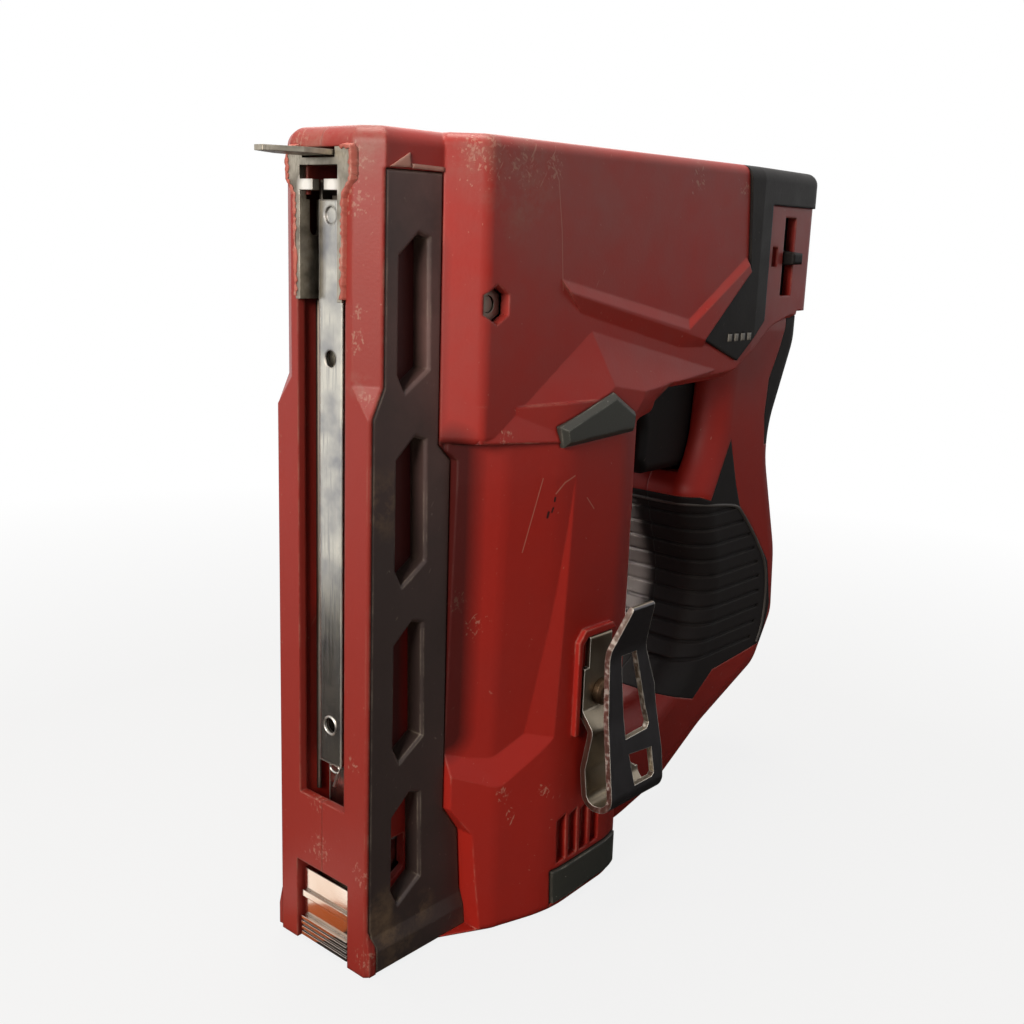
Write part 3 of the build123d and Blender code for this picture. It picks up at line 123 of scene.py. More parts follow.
def stroke(tree, place, start, end, width):
    """Mask along a straight line between two points of the tool, in millimetres."""
    along = Vector(end) - Vector(start)
    offset = add_node(tree, "VectorMath", {"operation": "SUBTRACT", 1: [c * MM for c in start]},
                      [(0, place, "Object")])
    share = add_node(tree, "VectorMath",
                     {"operation": "DOT_PRODUCT", 1: along / (along.length_squared * MM)},
                     [(0, offset, "Vector")])
    share = add_node(tree, "MapRange", {}, [("Value", share, "Value")])
    foot = add_node(tree, "VectorMath", {"operation": "SCALE", 0: along * MM}, [("Scale", share, "Result")])
    away = add_node(tree, "VectorMath", {"operation": "DISTANCE"},
                    [(0, offset, "Vector"), (1, foot, "Vector")])
    return add_node(tree, "MapRange", {"From Min": width * MM, "From Max": width * LINE_CORE * MM},
                    [("Value", away, "Value")]), "Result"


def washed(tree, under, over, mask):
    """Colour under, covered by a hex colour where the mask is on."""
    cover = add_node(tree, "Mix", {"data_type": "RGBA", 7: linear(over)}, [(0, *mask), (6, *under)])
    return cover, 2


# Moulded plastics: pigment through the whole wall, so a scuff shows paler and drier, never bare metal
MOULDED_ROUND = 0.9 * MM
HAIR_SLANTS = ((0, 0.6, 0.3), (0.4, -0.9, 0))
HAIR_STRETCH = (1, 1, 14)
# How much a rubbed patch or a knock brings out hairlines, flakes and scrapes
HAIR_GATHER = 0.05
FLAKE_GATHER = 0.16
SCRAPE_GATHER = 0.2
# How far single scratches and the strokes of painted shade cover the colour below
SCRATCH_SHARE = 0.5
SHADE_STROKE_SHARE = 0.85
# Heights over which the film rises: real dust, and a painted haze of light towards the top
DUST_AND_HAZE_Z = (110 * MM, 200 * MM)
WIPED_X = (-60 * MM, -42 * MM)
DULLED_X = (-54 * MM, -62 * MM)
DULLED_TONE = "#5c3d36"
# How far the occlusion corner tone reaches: painted shade where that tone is dark, dust where it is pale
CORNER_REACH = 5 * MM


def moulded_plastic(name, base, deep, scuffed, dust_and_haze_tone, shade_and_soil_tone, rough, wear, dust, corner_shade_and_dust_amount,
                    shine=0.45, grain=0.8, hairlines=0.3, chips=(), strokes=(), nicks=(), shade_strokes=(),
                    stains=(), stain_tone="#5a4634", stain_share=0.9, dulled_front=0.0):
    """Spark-textured moulding with tone drift, rubbed edges, marks of use, and a corner tone laid in by
    occlusion: painted shade where it is darker than the plastic, dust where paler.
    """
    material, tree, shader = new_material(name, IOR=1.5, Specular_IOR_Level=shine)
    place = add_node(tree, "TexCoord")
    spread = [("Vector", place, "Object")]
    drift = add_node(tree, "TexNoise", {"Scale": per_mm(38), "Detail": 5.0, "Roughness": 0.6}, spread)
    patch = add_node(tree, "TexNoise", {"Scale": per_mm(9), "Detail": 6.0, "Roughness": 0.7}, spread)
    fine = add_node(tree, "TexNoise", {"Scale": per_mm(1.3), "Detail": 3.0, "Roughness": 0.7}, spread)
    tone = add_node(tree, "Mix", {"data_type": "RGBA", 6: linear(base), 7: linear(deep)}, [(0, drift, "Fac")])
    colour = tone, 2
    # Rounded rims: the bevelled normal softens every moulded edge, and its turn marks where hands rub
    rim = add_node(tree, "Bevel", {"samples": 6, "Radius": MOULDED_ROUND})
    flat = add_node(tree, "NewGeometry")
    facing = add_node(tree, "VectorMath", {"operation": "DOT_PRODUCT"},
                      [(0, rim, "Normal"), (1, flat, "Normal")])
    edge = add_node(tree, "MapRange", {"From Min": 0.99, "From Max": 0.86}, [("Value", facing, "Value")])
    patchy = add_node(tree, "MapRange", {"From Min": 0.45, "From Max": 0.65}, [("Value", patch, "Fac")])
    rubbed = add_node(tree, "Math", {"operation": "MULTIPLY"}, [(0, edge, "Result"), (1, patchy, "Result")])
    rubbed = add_node(tree, "Math", {"operation": "MULTIPLY", 1: wear}, [(0, rubbed, "Value")])
    # Tiny pale specks, thrown over the surface and gathered in patches
    dots = add_node(tree, "TexVoronoi", {"Scale": per_mm(5.5)}, spread)
    specks = add_node(tree, "MapRange", {"From Min": 0.06, "From Max": 0.035, "To Max": 0.5},
                      [("Value", dots, "Distance")])
    specks = add_node(tree, "Math", {"operation": "MULTIPLY"}, [(0, specks, "Result"), (1, patchy, "Result")])
    # Hairline scratches at two slants, thicker on the ground in the patches that were rubbed most
    slanted = []
    for slant in HAIR_SLANTS:
        drawn = add_node(tree, "Mapping",
                         {"vector_type": "TEXTURE", "Rotation": slant, "Scale": HAIR_STRETCH}, spread)
        hair = add_node(tree, "TexNoise", {"Scale": per_mm(0.9), "Detail": 1.0},
                        [("Vector", drawn, "Vector")])
        slanted.append((hair, "Fac"))
    hair = strongest(tree, slanted)
    hairs = add_node(tree, "Math", {"operation": "MULTIPLY_ADD", 1: HAIR_GATHER},
                     [(0, patchy, "Result"), (2, *hair)])
    hairs = add_node(tree, "MapRange", {"From Min": 0.79, "From Max": 0.86, "To Max": hairlines},
                     [("Value", hairs, "Value")])
    marks = [(rubbed, "Value"), (specks, "Value"), (hairs, "Result")]
    # Knocked places: small pale flakes that gather towards the middle of each knock, and scrapes across it
    if chips:
        knocks = strongest(tree, [spot(tree, place, *chip) for chip in chips])
        flakes = add_node(tree, "Math", {"operation": "MULTIPLY_ADD", 1: FLAKE_GATHER},
                          [(0, *knocks), (2, fine, "Fac")])
        flakes = add_node(tree, "MapRange", {"From Min": 0.71, "From Max": 0.80, "To Max": 0.45},
                          [("Value", flakes, "Value")])
        scraped = add_node(tree, "Math", {"operation": "MULTIPLY_ADD", 1: SCRAPE_GATHER},
                           [(0, *knocks), (2, *hair)])
        scraped = add_node(tree, "MapRange", {"From Min": 0.8, "From Max": 0.87, "To Max": 0.6},
                           [("Value", scraped, "Value")])
        marks += [(flakes, "Result"), (scraped, "Result")]
    if strokes:
        lines = strongest(tree, [stroke(tree, place, *line) for line in strokes])
        lines = add_node(tree, "Math", {"operation": "MULTIPLY", 1: SCRATCH_SHARE}, [(0, *lines)])
        marks.append((lines, "Value"))
    colour = washed(tree, colour, scuffed, strongest(tree, marks))
    # Workshop dust as a thin film in patches, thicker towards the nose and wiped off the work face; its rise
    # with height also paints a pale haze of light over the upper part
    where = add_node(tree, "SeparateXYZ", {}, spread)
    dust_and_haze_rise = add_node(tree, "MapRange", {"From Min": DUST_AND_HAZE_Z[0], "From Max": DUST_AND_HAZE_Z[1], "To Min": 0.1},
                       [("Value", where, "Z")])
    film = add_node(tree, "MapRange", {"From Min": 0.3, "From Max": 0.7, "To Max": dust},
                    [("Value", drift, "Fac")])
    film = add_node(tree, "Math", {"operation": "MULTIPLY"}, [(0, film, "Result"), (1, dust_and_haze_rise, "Result")])
    wiped = add_node(tree, "MapRange", {"From Min": WIPED_X[0], "From Max": WIPED_X[1], "To Min": 0.35},
                     [("Value", where, "X")])
    film = add_node(tree, "Math", {"operation": "MULTIPLY"}, [(0, film, "Value"), (1, wiped, "Result")])
    colour = washed(tree, colour, dust_and_haze_tone, (film, "Value"))
    # The work face has lost some of its colour to years of boards
    if dulled_front:
        front = add_node(tree, "MapRange",
                         {"From Min": DULLED_X[0], "From Max": DULLED_X[1], "To Max": dulled_front},
                         [("Value", where, "X")])
        colour = washed(tree, colour, DULLED_TONE, (front, "Result"))
    # Corner tone laid in by occlusion (painted shade where it is darker than the plastic, dust where paler),
    # blots, strokes of painted shade, and dark nicks
    corner = add_node(tree, "AmbientOcclusion", {"samples": 4, "Distance": CORNER_REACH})
    corner_mask_shade_and_dust = add_node(tree, "MapRange", {"From Min": 0.65, "From Max": 0.3, "To Max": corner_shade_and_dust_amount},
                      [("Value", corner, "AO")])
    colour = washed(tree, colour, shade_and_soil_tone, (corner_mask_shade_and_dust, "Result"))
    if stains:
        blots = strongest(tree, [spot(tree, place, *stain) for stain in stains])
        blots = add_node(tree, "Math", {"operation": "MULTIPLY"}, [(0, *blots), (1, patchy, "Result")])
        blots = add_node(tree, "Math", {"operation": "MULTIPLY", 1: stain_share}, [(0, blots, "Value")])
        colour = washed(tree, colour, stain_tone, (blots, "Value"))
    # Strokes of painted shade, laid in with the dark tone
    if shade_strokes:
        stroke_shade = strongest(tree, [stroke(tree, place, *valley) for valley in shade_strokes])
        stroke_shade = add_node(tree, "Math", {"operation": "MULTIPLY", 1: SHADE_STROKE_SHARE}, [(0, *stroke_shade)])
        colour = washed(tree, colour, shade_and_soil_tone, (stroke_shade, "Value"))
    if nicks:
        holes = strongest(tree, [stroke(tree, place, *nick) for nick in nicks])
        colour = washed(tree, colour, shade_and_soil_tone, holes)
    feed(tree, colour, shader, "Base Color")
    gloss = add_node(tree, "MapRange", {"To Min": rough - 0.08, "To Max": rough + 0.1},
                     [("Value", patch, "Fac")])
    feed(tree, (gloss, "Result"), shader, "Roughness")
    # The tool's steel leaves a fine even grain, here about the pitch that still shows
    texture = add_node(tree, "TexNoise", {"Scale": per_mm(grain), "Detail": 3.0}, spread)
    relief = add_node(tree, "Bump", {"Strength": 0.35, "Distance": 0.08 * MM},
                      [("Height", texture, "Fac"), ("Normal", rim, "Normal")])
    feed(tree, (relief, "Normal"), shader, "Normal")
    return material


# Where the tool has been knocked in use: a point and a reach, in millimetres
NOSE_KNOCKS = [((-64.8, -11.2, 198), 7), ((-64.7, -11.4, 190), 6), ((-65, 8, 203), 6), ((-65, 11, 192), 5)]
POST_KNOCKS = [((-64.4, -11.8, 166), 3.2), ((-64.2, -12, 160.5), 3), ((-64.7, -11.2, 158), 3),
               ((-64, -14.2, 146.5), 4), ((-65, -11.6, 57), 4), ((-65, -14.7, 28), 5), ((-63.7, -17, 5), 6)]
WEB_KNOCKS = [((-65, 0.6, 29), 7), ((-64, 2, 42.5), 6)]
HEAD_KNOCKS = [((-37, -23.5, 202), 11), ((-24, -25, 200), 10), ((-14, -25, 200), 7), ((50, -25, 200), 6),
               ((74, -25, 199), 5)]
FLANK_KNOCKS = [((-27.7, -25.6, 135.4), 4.5), ((-24.6, -25.2, 39.3), 4), ((-22, -26, 32.8), 4),
                ((-10.7, -28.4, 37), 4), ((-37, -18.7, 94), 5), ((-32, -20.7, 87), 5)]
# Paler bloom on the head and round the nose
RED_STAINS = [((-25, -25, 196), 18), ((-63.9, -12.4, 149.3), 4), ((-63, 2, 207), 16), ((-62, -12, 204), 11),
              ((-37, -24, 204), 13)]

# Scratches and nicks: two ends and a half width, in millimetres
CURVED_SCRATCH = [((-10.7, -27.7, 119.4), (-7.9, -28.2, 122.0), 0.28),
                  ((-7.9, -28.2, 122.0), (-4.3, -28.5, 123.4), 0.28)]
PANEL_EDGE = [((-14.1, -25, 200.6), (-11.6, -25, 196.8), 0.22), ((-11.6, -25, 196.8), (-9.6, -25, 185), 0.2),
              ((-9.6, -25, 185), (-8.2, -25, 170.5), 0.18)]
LONG_SCRATCHES = [((-15.2, -26.9, 123.8), (-20.3, -25.2, 105), 0.2),
                  ((1.2, -28.6, 116.8), (4.4, -28.6, 113.4), 0.22)]
BLACK_NICKS = [((-10.9, -27.6, 118.3), (-11, -27.6, 117.5), 0.45),
               ((-11.3, -27.5, 115.6), (-11.7, -27.5, 114.6), 0.45),
               ((-12.7, -27.1, 114.6), (-13, -27.1, 113.4), 0.55)]

# Painted shade where the body meets the side guards: a dark band standing for the guard's shadow on the body
GUARD_SHADE_STROKES = [((-38.5, side * 17.3, 58), (-38.5, side * 17.3, 132), 9) for side, _ in SIDES]
# Painted shade on the wall behind the guards' windows, darkest in the upper two
WINDOW_SHADE_STROKES = []
for side, _ in SIDES:
    WINDOW_SHADE_STROKES += [((-50, side * 11.8, 178), (-50, side * 11.8, 105), 11),
                    ((-54, side * 11.8, 85), (-54, side * 11.8, 55), 9)]
# Painted shade inside the nose, behind the staple slot and on the walls beside it
NOSE_SHADE_STROKES = [((-54, 0, 197), (-54, 0, 172), 9)]
NOSE_SHADE_STROKES += [((-60, side * 9, 195), (-60, side * 9, 170), 5) for side, _ in SIDES]

# Glass-filled nylon: satin, deep red, gone dull and pinkish where it has been rubbed
red_nylon = moulded_plastic("red glass-filled nylon", "#b3261a", "#9f1d13", "#cf9884", "#86706b", "#1c0706",
                            rough=0.45, wear=0.5, dust=0.4, corner_shade_and_dust_amount=0.25, shine=0.36,
                            chips=NOSE_KNOCKS + POST_KNOCKS + WEB_KNOCKS + HEAD_KNOCKS + FLANK_KNOCKS,
                            strokes=CURVED_SCRATCH + LONG_SCRATCHES + PANEL_EDGE, nicks=BLACK_NICKS,
                            shade_strokes=GUARD_SHADE_STROKES + WINDOW_SHADE_STROKES + NOSE_SHADE_STROKES, stains=RED_STAINS,
                            stain_tone="#9a7468", stain_share=0.5, dulled_front=0.35)
# The same red where work has torn and rubbed it pale, round the nose
torn_nylon = moulded_plastic("rubbed red nylon", "#c26a5b", "#aa4c3f", "#dfb8a8", "#9a857a", "#4a221c",
                             rough=0.55, wear=0.9, dust=0.5, corner_shade_and_dust_amount=0.3, grain=0.5, hairlines=0.8)
# Raised signs are rubbed palest of all
sign_nylon = moulded_plastic("sign worn pale in red nylon", "#d6a294", "#bf8274", "#ecd0c2", "#a8948a",
                             "#6a3a32", rough=0.6, wear=0.9, dust=0.4, corner_shade_and_dust_amount=0.3, grain=0.5, hairlines=0.8)
# The same resin in black, with brown dust in its corners and a dried smear of glue
black_nylon = moulded_plastic("black glass-filled nylon", "#372c29", "#2a2220", "#968b7c", "#9a736e",
                              "#6a5e4e", rough=0.5, wear=0.9, dust=1.0, corner_shade_and_dust_amount=0.6, stain_tone="#6e5a46",
                              stains=[((-60, -17, 122), 10), ((-60, -17, 16), 9), ((-58, -17.6, 8), 7),
                                      ((-54, -18, 3), 8), ((-46, -18, 12), 6)])
# Black nylon that hands keep clean: the head caps, trigger and selector
clean_nylon = moulded_plastic("handled black nylon", "#191514", "#120f0e", "#6a635b", "#4c4742", "#100c0c",
                              rough=0.5, wear=0.4, dust=0.06, corner_shade_and_dust_amount=0.5, shine=0.14)
# Dark grey bumper plastic, drier than the nylon
grey_elastomer = moulded_plastic("dark grey elastomer", "#3c3d37", "#2e2f2a", "#a9a99e", "#6d6a62", "#1f1b18",
                                 rough=0.5, wear=0.95, dust=0.15, corner_shade_and_dust_amount=0.5, hairlines=0.6)
# Overmoulded thermoplastic rubber: matt and a little dusty
grip_rubber = moulded_plastic("black thermoplastic rubber", "#191413", "#110d0d", "#544d47", "#453d37",
                              "#0b0807", rough=0.65, wear=0.4, dust=0.1, corner_shade_and_dust_amount=0.5, shine=0.2, grain=0.5)
# The pad's raised rim, polished grey by the palm; the grey also paints the soft highlight along the rim
rim_rubber_worn_and_sheen = moulded_plastic("palm-worn rubber with painted sheen", "#4a4541", "#37322f", "#7d766e", "#5c534b", "#161110",
                                rough=0.5, wear=0.5, dust=0.2, corner_shade_and_dust_amount=0.4, grain=0.5)
# Smoked acrylic of the gauge lenses: smooth enough to hold a soft highlight
smoke_lens = moulded_plastic("smoked acrylic", "#9a958c", "#87827a", "#a8a49c", "#6d6a66", "#2a2725",
                             rough=0.25, wear=0.2, dust=0.1, corner_shade_and_dust_amount=0.3)
# Shrink wrap on the cells: a shiny, slightly uneven blue film
cell_wrap = moulded_plastic("blue shrink wrap", "#2c5f8f", "#244f78", "#6d8aa5", "#5d7890", "#1c3047",
                            rough=0.3, wear=0.2, dust=0.1, corner_shade_and_dust_amount=0.4, grain=3)
# Lacquer on the circuit board: smooth and deep green
board_lacquer = moulded_plastic("green board lacquer", "#1f5a3c", "#184a31", "#5d8a70", "#5a7a68", "#123122",
                                rough=0.35, wear=0.2, dust=0.1, corner_shade_and_dust_amount=0.4)

# How far the painted shade reaches into the corners of metal parts
METAL_CORNER = 4 * MM


def metal(name, base, dull, shade_and_soil_tone, rough, stretch, spread, stain, smears=0.3, patches=24, fold=0.3,
          brushed_rim=0.0):
    """Metal with drawn or rolled streaks, a bevelled edge, patchy tarnish and painted shade in its corners.
    """
    material, tree, shader = new_material(name, Metallic=1.0)
    place = add_node(tree, "TexCoord")
    lay = add_node(tree, "Mapping", {"Scale": stretch}, [("Vector", place, "Object")])
    streak = add_node(tree, "TexNoise", {"Scale": per_mm(0.7), "Detail": 4.0}, [("Vector", lay, "Vector")])
    patch = add_node(tree, "TexNoise", {"Scale": per_mm(patches), "Detail": 3.0, "Roughness": 0.5},
                     [("Vector", place, "Object")])
    tarnish = add_node(tree, "MapRange", {"From Min": 0.4, "From Max": 0.7, "To Max": stain},
                       [("Value", patch, "Fac")])
    smear = add_node(tree, "MapRange", {"From Min": 0.5, "From Max": 0.66, "To Max": smears},
                     [("Value", streak, "Fac")])
    clouded = strongest(tree, [(tarnish, "Result"), (smear, "Result")])
    colour = add_node(tree, "Mix", {"data_type": "RGBA", 6: linear(base), 7: linear(dull)}, [(0, *clouded)])
    # Painted shade: occlusion darkens the corners
    corner = add_node(tree, "AmbientOcclusion", {"samples": 4, "Distance": METAL_CORNER})
    corner_mask_shade_and_dust = add_node(tree, "MapRange", {"From Min": 0.7, "From Max": 0.3, "To Max": 0.8},
                      [("Value", corner, "AO")])
    feed(tree, washed(tree, (colour, 2), shade_and_soil_tone, (corner_mask_shade_and_dust, "Result")), shader, "Base Color")
    gloss = add_node(tree, "MapRange", {"To Min": rough - spread, "To Max": rough + spread},
                     [("Value", streak, "Fac")])
    feed(tree, (gloss, "Result"), shader, "Roughness")
    rim = add_node(tree, "Bevel", {"samples": 6, "Radius": fold * MM})
    # A folded edge that has been rubbed scatters the lamp as a pale line
    if brushed_rim:
        flat = add_node(tree, "NewGeometry")
        turn = add_node(tree, "VectorMath", {"operation": "DOT_PRODUCT"},
                        [(0, rim, "Normal"), (1, flat, "Normal")])
        brushed = add_node(tree, "MapRange", {"From Min": 0.99, "From Max": 0.9, "To Max": brushed_rim},
                           [("Value", turn, "Value")])
        gloss = add_node(tree, "Math", {"operation": "MAXIMUM"},
                         [(0, gloss, "Result"), (1, brushed, "Result")])
        feed(tree, (gloss, "Value"), shader, "Roughness")
    relief = add_node(tree, "Bump", {"Strength": 0.15, "Distance": 0.04 * MM},
                      [("Height", streak, "Fac"), ("Normal", rim, "Normal")])
    feed(tree, (relief, "Normal"), shader, "Normal")
    return material


# Streaks run along the axis with the small value: the rail's length, or bars and shafts across the tool
ALONG_RAIL = (1, 1, 0.04)
ACROSS_TOOL = (1, 0.1, 1)
EVEN = (1, 1, 1)

# Cold-rolled strip: bright, with rolling streaks along the rail
rolled_steel = metal("cold-rolled steel", "#dad5c8", "#85868c", "#3a342e", rough=0.22, stretch=ALONG_RAIL,
                     spread=0.12, stain=0.9, smears=0.55, patches=11, fold=1.0, brushed_rim=0.55)
# Hardened plate at the nose: the same strip, browned by heat and handling
nose_steel = metal("hardened nose steel", "#b0a899", "#6a6359", "#2a221b", rough=0.48, stretch=(1, 1, 0.3),
                   spread=0.12, stain=0.9, smears=0.5, patches=5)
# Zinc plate: greyer and duller, with brown bloom
zinc_plate = metal("zinc-plated steel", "#8a847a", "#5a4a3a", "#2a211a", rough=0.42, stretch=(0.6, 0.6, 0.6),
                   spread=0.1, stain=0.9)
# Chromium plate on the latch: mirrors what lies before it, with amber patches painted in as a reflection of
# the red housing, over a faint bloom of rust
chrome_plate = metal("chromium plate", "#efebe4", "#c09878", "#3a2a1e", rough=0.14, stretch=ACROSS_TOOL,
                     spread=0.06, stain=0.5)
# Drawn spring wire: grey and even, with painted shade between the coils
spring_wire = metal("drawn spring wire", "#8c8a86", "#5c5248", "#2e2822", rough=0.35, stretch=EVEN,
                    spread=0.08, stain=0.5)
# Hard-drawn wire and burred steel that handling keeps bright
bright_wire = metal("bright hard-drawn wire", "#e4e0d8", "#a39a8e", "#4a4239", rough=0.3, stretch=EVEN,
                    spread=0.08, stain=0.4)
# Machined steel under oil: fine lines along shafts and teeth, with painted shade in the roots
machined_steel = metal("oiled machined steel", "#96938c", "#5f564a", "#2e2822", rough=0.35,
                       stretch=ACROSS_TOOL, spread=0.08, stain=0.5)
# Screw steel under brown rust, nearly matt
rusty_steel = metal("rusted screw steel", "#5c4a3a", "#3a2819", "#1c120a", rough=0.5, stretch=EVEN,
                    spread=0.1, stain=1.0)
# Tinned copper: warm and smooth, with faint streaks from rolling
contact_copper = metal("tinned contact copper", "#b98a5e", "#8a5f3c", "#4a3020", rough=0.3,
                       stretch=(1, 1, 0.2), spread=0.08, stain=0.4)
# Bronze pressed from powder: brown and matt
sintered_bronze = metal("sintered bronze", "#a07a45", "#6e5230", "#3a2a18", rough=0.5, stretch=EVEN,
                        spread=0.1, stain=0.4)
# Strip steel of the belt hook, dull and beige where it faces the tool
hook_steel = metal("blackened strip steel", "#9a9080", "#7a6f5f", "#40352a", rough=0.36, stretch=(1, 1, 0.1),
                   spread=0.1, stain=0.8)

# The two tongues beside the staple slot: where they are and how far the polish reaches, in millimetres
TONGUES = [(-65.8, -4.4, 193), (-65.8, 4.4, 193)]
TONGUE_REACH = 3.4
POLISHED_TONE = "#f4efe6"


def polish_tongues(material):
    """Staples have rubbed the tongues beside the slot bright."""
    tree = material.node_tree
    shader = tree.nodes["Principled BSDF"]
    place = add_node(tree, "TexCoord")
    tongues = strongest(tree, [spot(tree, place, tongue, TONGUE_REACH) for tongue in TONGUES])
    worn = shader.inputs["Base Color"].links[0].from_node
    feed(tree, washed(tree, (worn, 2), POLISHED_TONE, tongues), shader, "Base Color")


# The hook's outer arm begins between these two depths beside the body
OUTER_ARM_Y = (-35 * MM, -37 * MM)
SHEARED_ROUND = 0.35 * MM
SHEARED_ROUGH = 0.6
SHEARED_AND_LIT_TONE = "#cdc8be"
BLACKENED_TONE = "#5a585a"


def blacken_outside(material):
    """The hook's outer face is blackened, and its cut edges are bright, chipped and rough; the cut side
    turned to the key lamp is pale all over, partly a painted highlight.
    """
    tree = material.node_tree
    shader = tree.nodes["Principled BSDF"]
    place = add_node(tree, "TexCoord")
    side = add_node(tree, "SeparateXYZ", {}, [("Vector", place, "Normal")])
    depth = add_node(tree, "SeparateXYZ", {}, [("Vector", place, "Object")])
    turned_out = add_node(tree, "MapRange", {"From Min": -0.55, "From Max": -0.75}, [("Value", side, "Y")])
    outer_arm = add_node(tree, "MapRange", {"From Min": OUTER_ARM_Y[0], "From Max": OUTER_ARM_Y[1]},
                         [("Value", depth, "Y")])
    blacked = add_node(tree, "Math", {"operation": "MULTIPLY"},
                       [(0, turned_out, "Result"), (1, outer_arm, "Result")])
    bare = shader.inputs["Base Color"].links[0].from_node
    blued = washed(tree, (bare, 2), BLACKENED_TONE, (blacked, "Value"))
    rim = add_node(tree, "Bevel", {"samples": 6, "Radius": SHEARED_ROUND})
    flat = add_node(tree, "NewGeometry")
    turn = add_node(tree, "VectorMath", {"operation": "DOT_PRODUCT"},
                    [(0, rim, "Normal"), (1, flat, "Normal")])
    edge = add_node(tree, "MapRange", {"From Min": 0.985, "From Max": 0.9}, [("Value", turn, "Value")])
    # Painted highlight in part: only the cut side turned towards the key lamp is laid in with the pale steel
    # tone
    lit_cut_side = add_node(tree, "MapRange", {"From Min": -0.5, "From Max": -0.8}, [("Value", side, "X")])
    lit_cut_side = add_node(tree, "Math", {"operation": "MULTIPLY"},
                        [(0, lit_cut_side, "Result"), (1, outer_arm, "Result")])
    chipped = add_node(tree, "TexNoise", {"Scale": per_mm(1.6), "Detail": 3.0}, [("Vector", place, "Object")])
    chipped = add_node(tree, "MapRange", {"From Min": 0.42, "From Max": 0.62, "To Min": 0.2},
                       [("Value", chipped, "Fac")])
    lit_cut_side = add_node(tree, "Math", {"operation": "MULTIPLY"},
                        [(0, lit_cut_side, "Value"), (1, chipped, "Result")])
    sheared_and_lit = strongest(tree, [(edge, "Result"), (lit_cut_side, "Value")])
    feed(tree, washed(tree, blued, SHEARED_AND_LIT_TONE, sheared_and_lit), shader, "Base Color")
    # The sheared side is torn, so it scatters the lamp instead of mirroring the body
    smooth = shader.inputs["Roughness"].links[0].from_node
    torn = add_node(tree, "Math", {"operation": "MULTIPLY", 1: SHEARED_ROUGH}, [(0, *sheared_and_lit)])
    torn = add_node(tree, "Math", {"operation": "MAXIMUM"}, [(0, smooth, "Result"), (1, torn, "Value")])
    feed(tree, (torn, "Value"), shader, "Roughness")


polish_tongues(nose_steel)
blacken_outside(hook_steel)

FINISH = {
    "red_plastic": red_nylon,
    "black_plastic": black_nylon,
    "grey_plastic": grey_elastomer,
    "grip_rubber": grip_rubber,
    "bright_steel": rolled_steel,
    "zinc_steel": zinc_plate,
    "spring_steel": spring_wire,
    "black_steel": hook_steel,
    "chrome_plate": chrome_plate,
    "gear_steel": machined_steel,
    "contact_copper": contact_copper,
    "smoke_lens": smoke_lens,
    "cell_wrap": cell_wrap,
    "board_green": board_lacquer,
    "bush_bronze": sintered_bronze,
}
# Pieces that wear unlike the rest of their slot
OWN_FINISH = {
    "left_head_cap": clean_nylon,
    "right_head_cap": clean_nylon,
    "trigger": clean_nylon,
    "mode_selector": clean_nylon,
    "nose_plate": nose_steel,
    "contact_arm": nose_steel,
    "belt_hook_screw": rusty_steel,
}
for part in frame["record"]["subparts"]:
    mesh = nodes[part["node"]].data
    mesh.materials.clear()
    mesh.materials.append(OWN_FINISH.get(part["node"], FINISH[part["material_slot"]]))


# Pieces beyond the CAD solids, all in millimetres
def placed(name, data, body, finish):
    """Put new geometry into the scene on a body of the tool, with its finish."""
    data.materials.append(finish)
    piece = bpy.data.objects.new(name, data)
    bpy.context.scene.collection.objects.link(piece)
    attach(piece, body)
    return piece


def tube_faces(rings, corners, first=0):
    """Faces of a tube through rings of points, with a cap at each end."""
    last = first + (rings - 1) * corners
    faces = [list(range(first, first + corners)), list(range(last, last + corners))]
    for ring in range(first, last, corners):
        for i in range(corners):
            j = (i + 1) % corners
            faces.append([ring + i, ring + j, ring + corners + j, ring + corners + i])
    return faces


def faceted(name, points, faces, body, finish):
    """Closed piece from points, its faces turned outwards."""
    mesh = bpy.data.meshes.new(name)
    mesh.from_pydata([[c * MM for c in point] for point in points], [], faces)
    work = bmesh.new()
    work.from_mesh(mesh)
    bmesh.ops.recalc_face_normals(work, faces=work.faces)
    work.to_mesh(mesh)
    work.free()
    return placed(name, mesh, body, finish)


def wire(name, points, radius, body, finish, closed=False):
    """Round wire or bead led smoothly past points."""
    curve = bpy.data.curves.new(name, "CURVE")
    curve.dimensions = "3D"
    curve.bevel_depth = radius * MM
    curve.bevel_resolution = 3
    curve.use_fill_caps = True
    spline = curve.splines.new("NURBS")
    spline.points.add(len(points) - 1)
    for knot, point in zip(spline.points, points):
        knot.co = (*[c * MM for c in point], 1)
    spline.order_u = 3
    spline.use_endpoint_u = not closed
    spline.use_cyclic_u = closed
    placed(name, curve, body, finish)


# Raised half arrow above the side guard, its crest rubbed pale: a barb and a bar, as (x, z) points
SIGN_Y = -17.0
SIGN_SUNK = 0.1
SIGN_RISE = 0.35
SIGN_SLOPE = 0.14
ARROW_SHAPES = [[(-59.9, 197.3), (-53.9, 200.6), (-53.5, 197.4)],
                [(-53.3, 197.3), (-53.3, 198.3), (-43.2, 198.1), (-43.2, 197.1)]]
sign_points = []
sign_faces = []
for shape in ARROW_SHAPES:
    middle = Vector((sum(x for x, z in shape) / len(shape), sum(z for x, z in shape) / len(shape)))
    crest = [Vector(p) + (middle - Vector(p)).normalized() * SIGN_SLOPE for p in shape]
    sign_faces += tube_faces(2, len(shape), first=len(sign_points))
    sign_points += [(x, SIGN_Y + SIGN_SUNK, z) for x, z in shape]
    sign_points += [(x, SIGN_Y - SIGN_RISE, z) for x, z in crest]
faceted("feed_arrow", sign_points, sign_faces, "housing", sign_nylon)

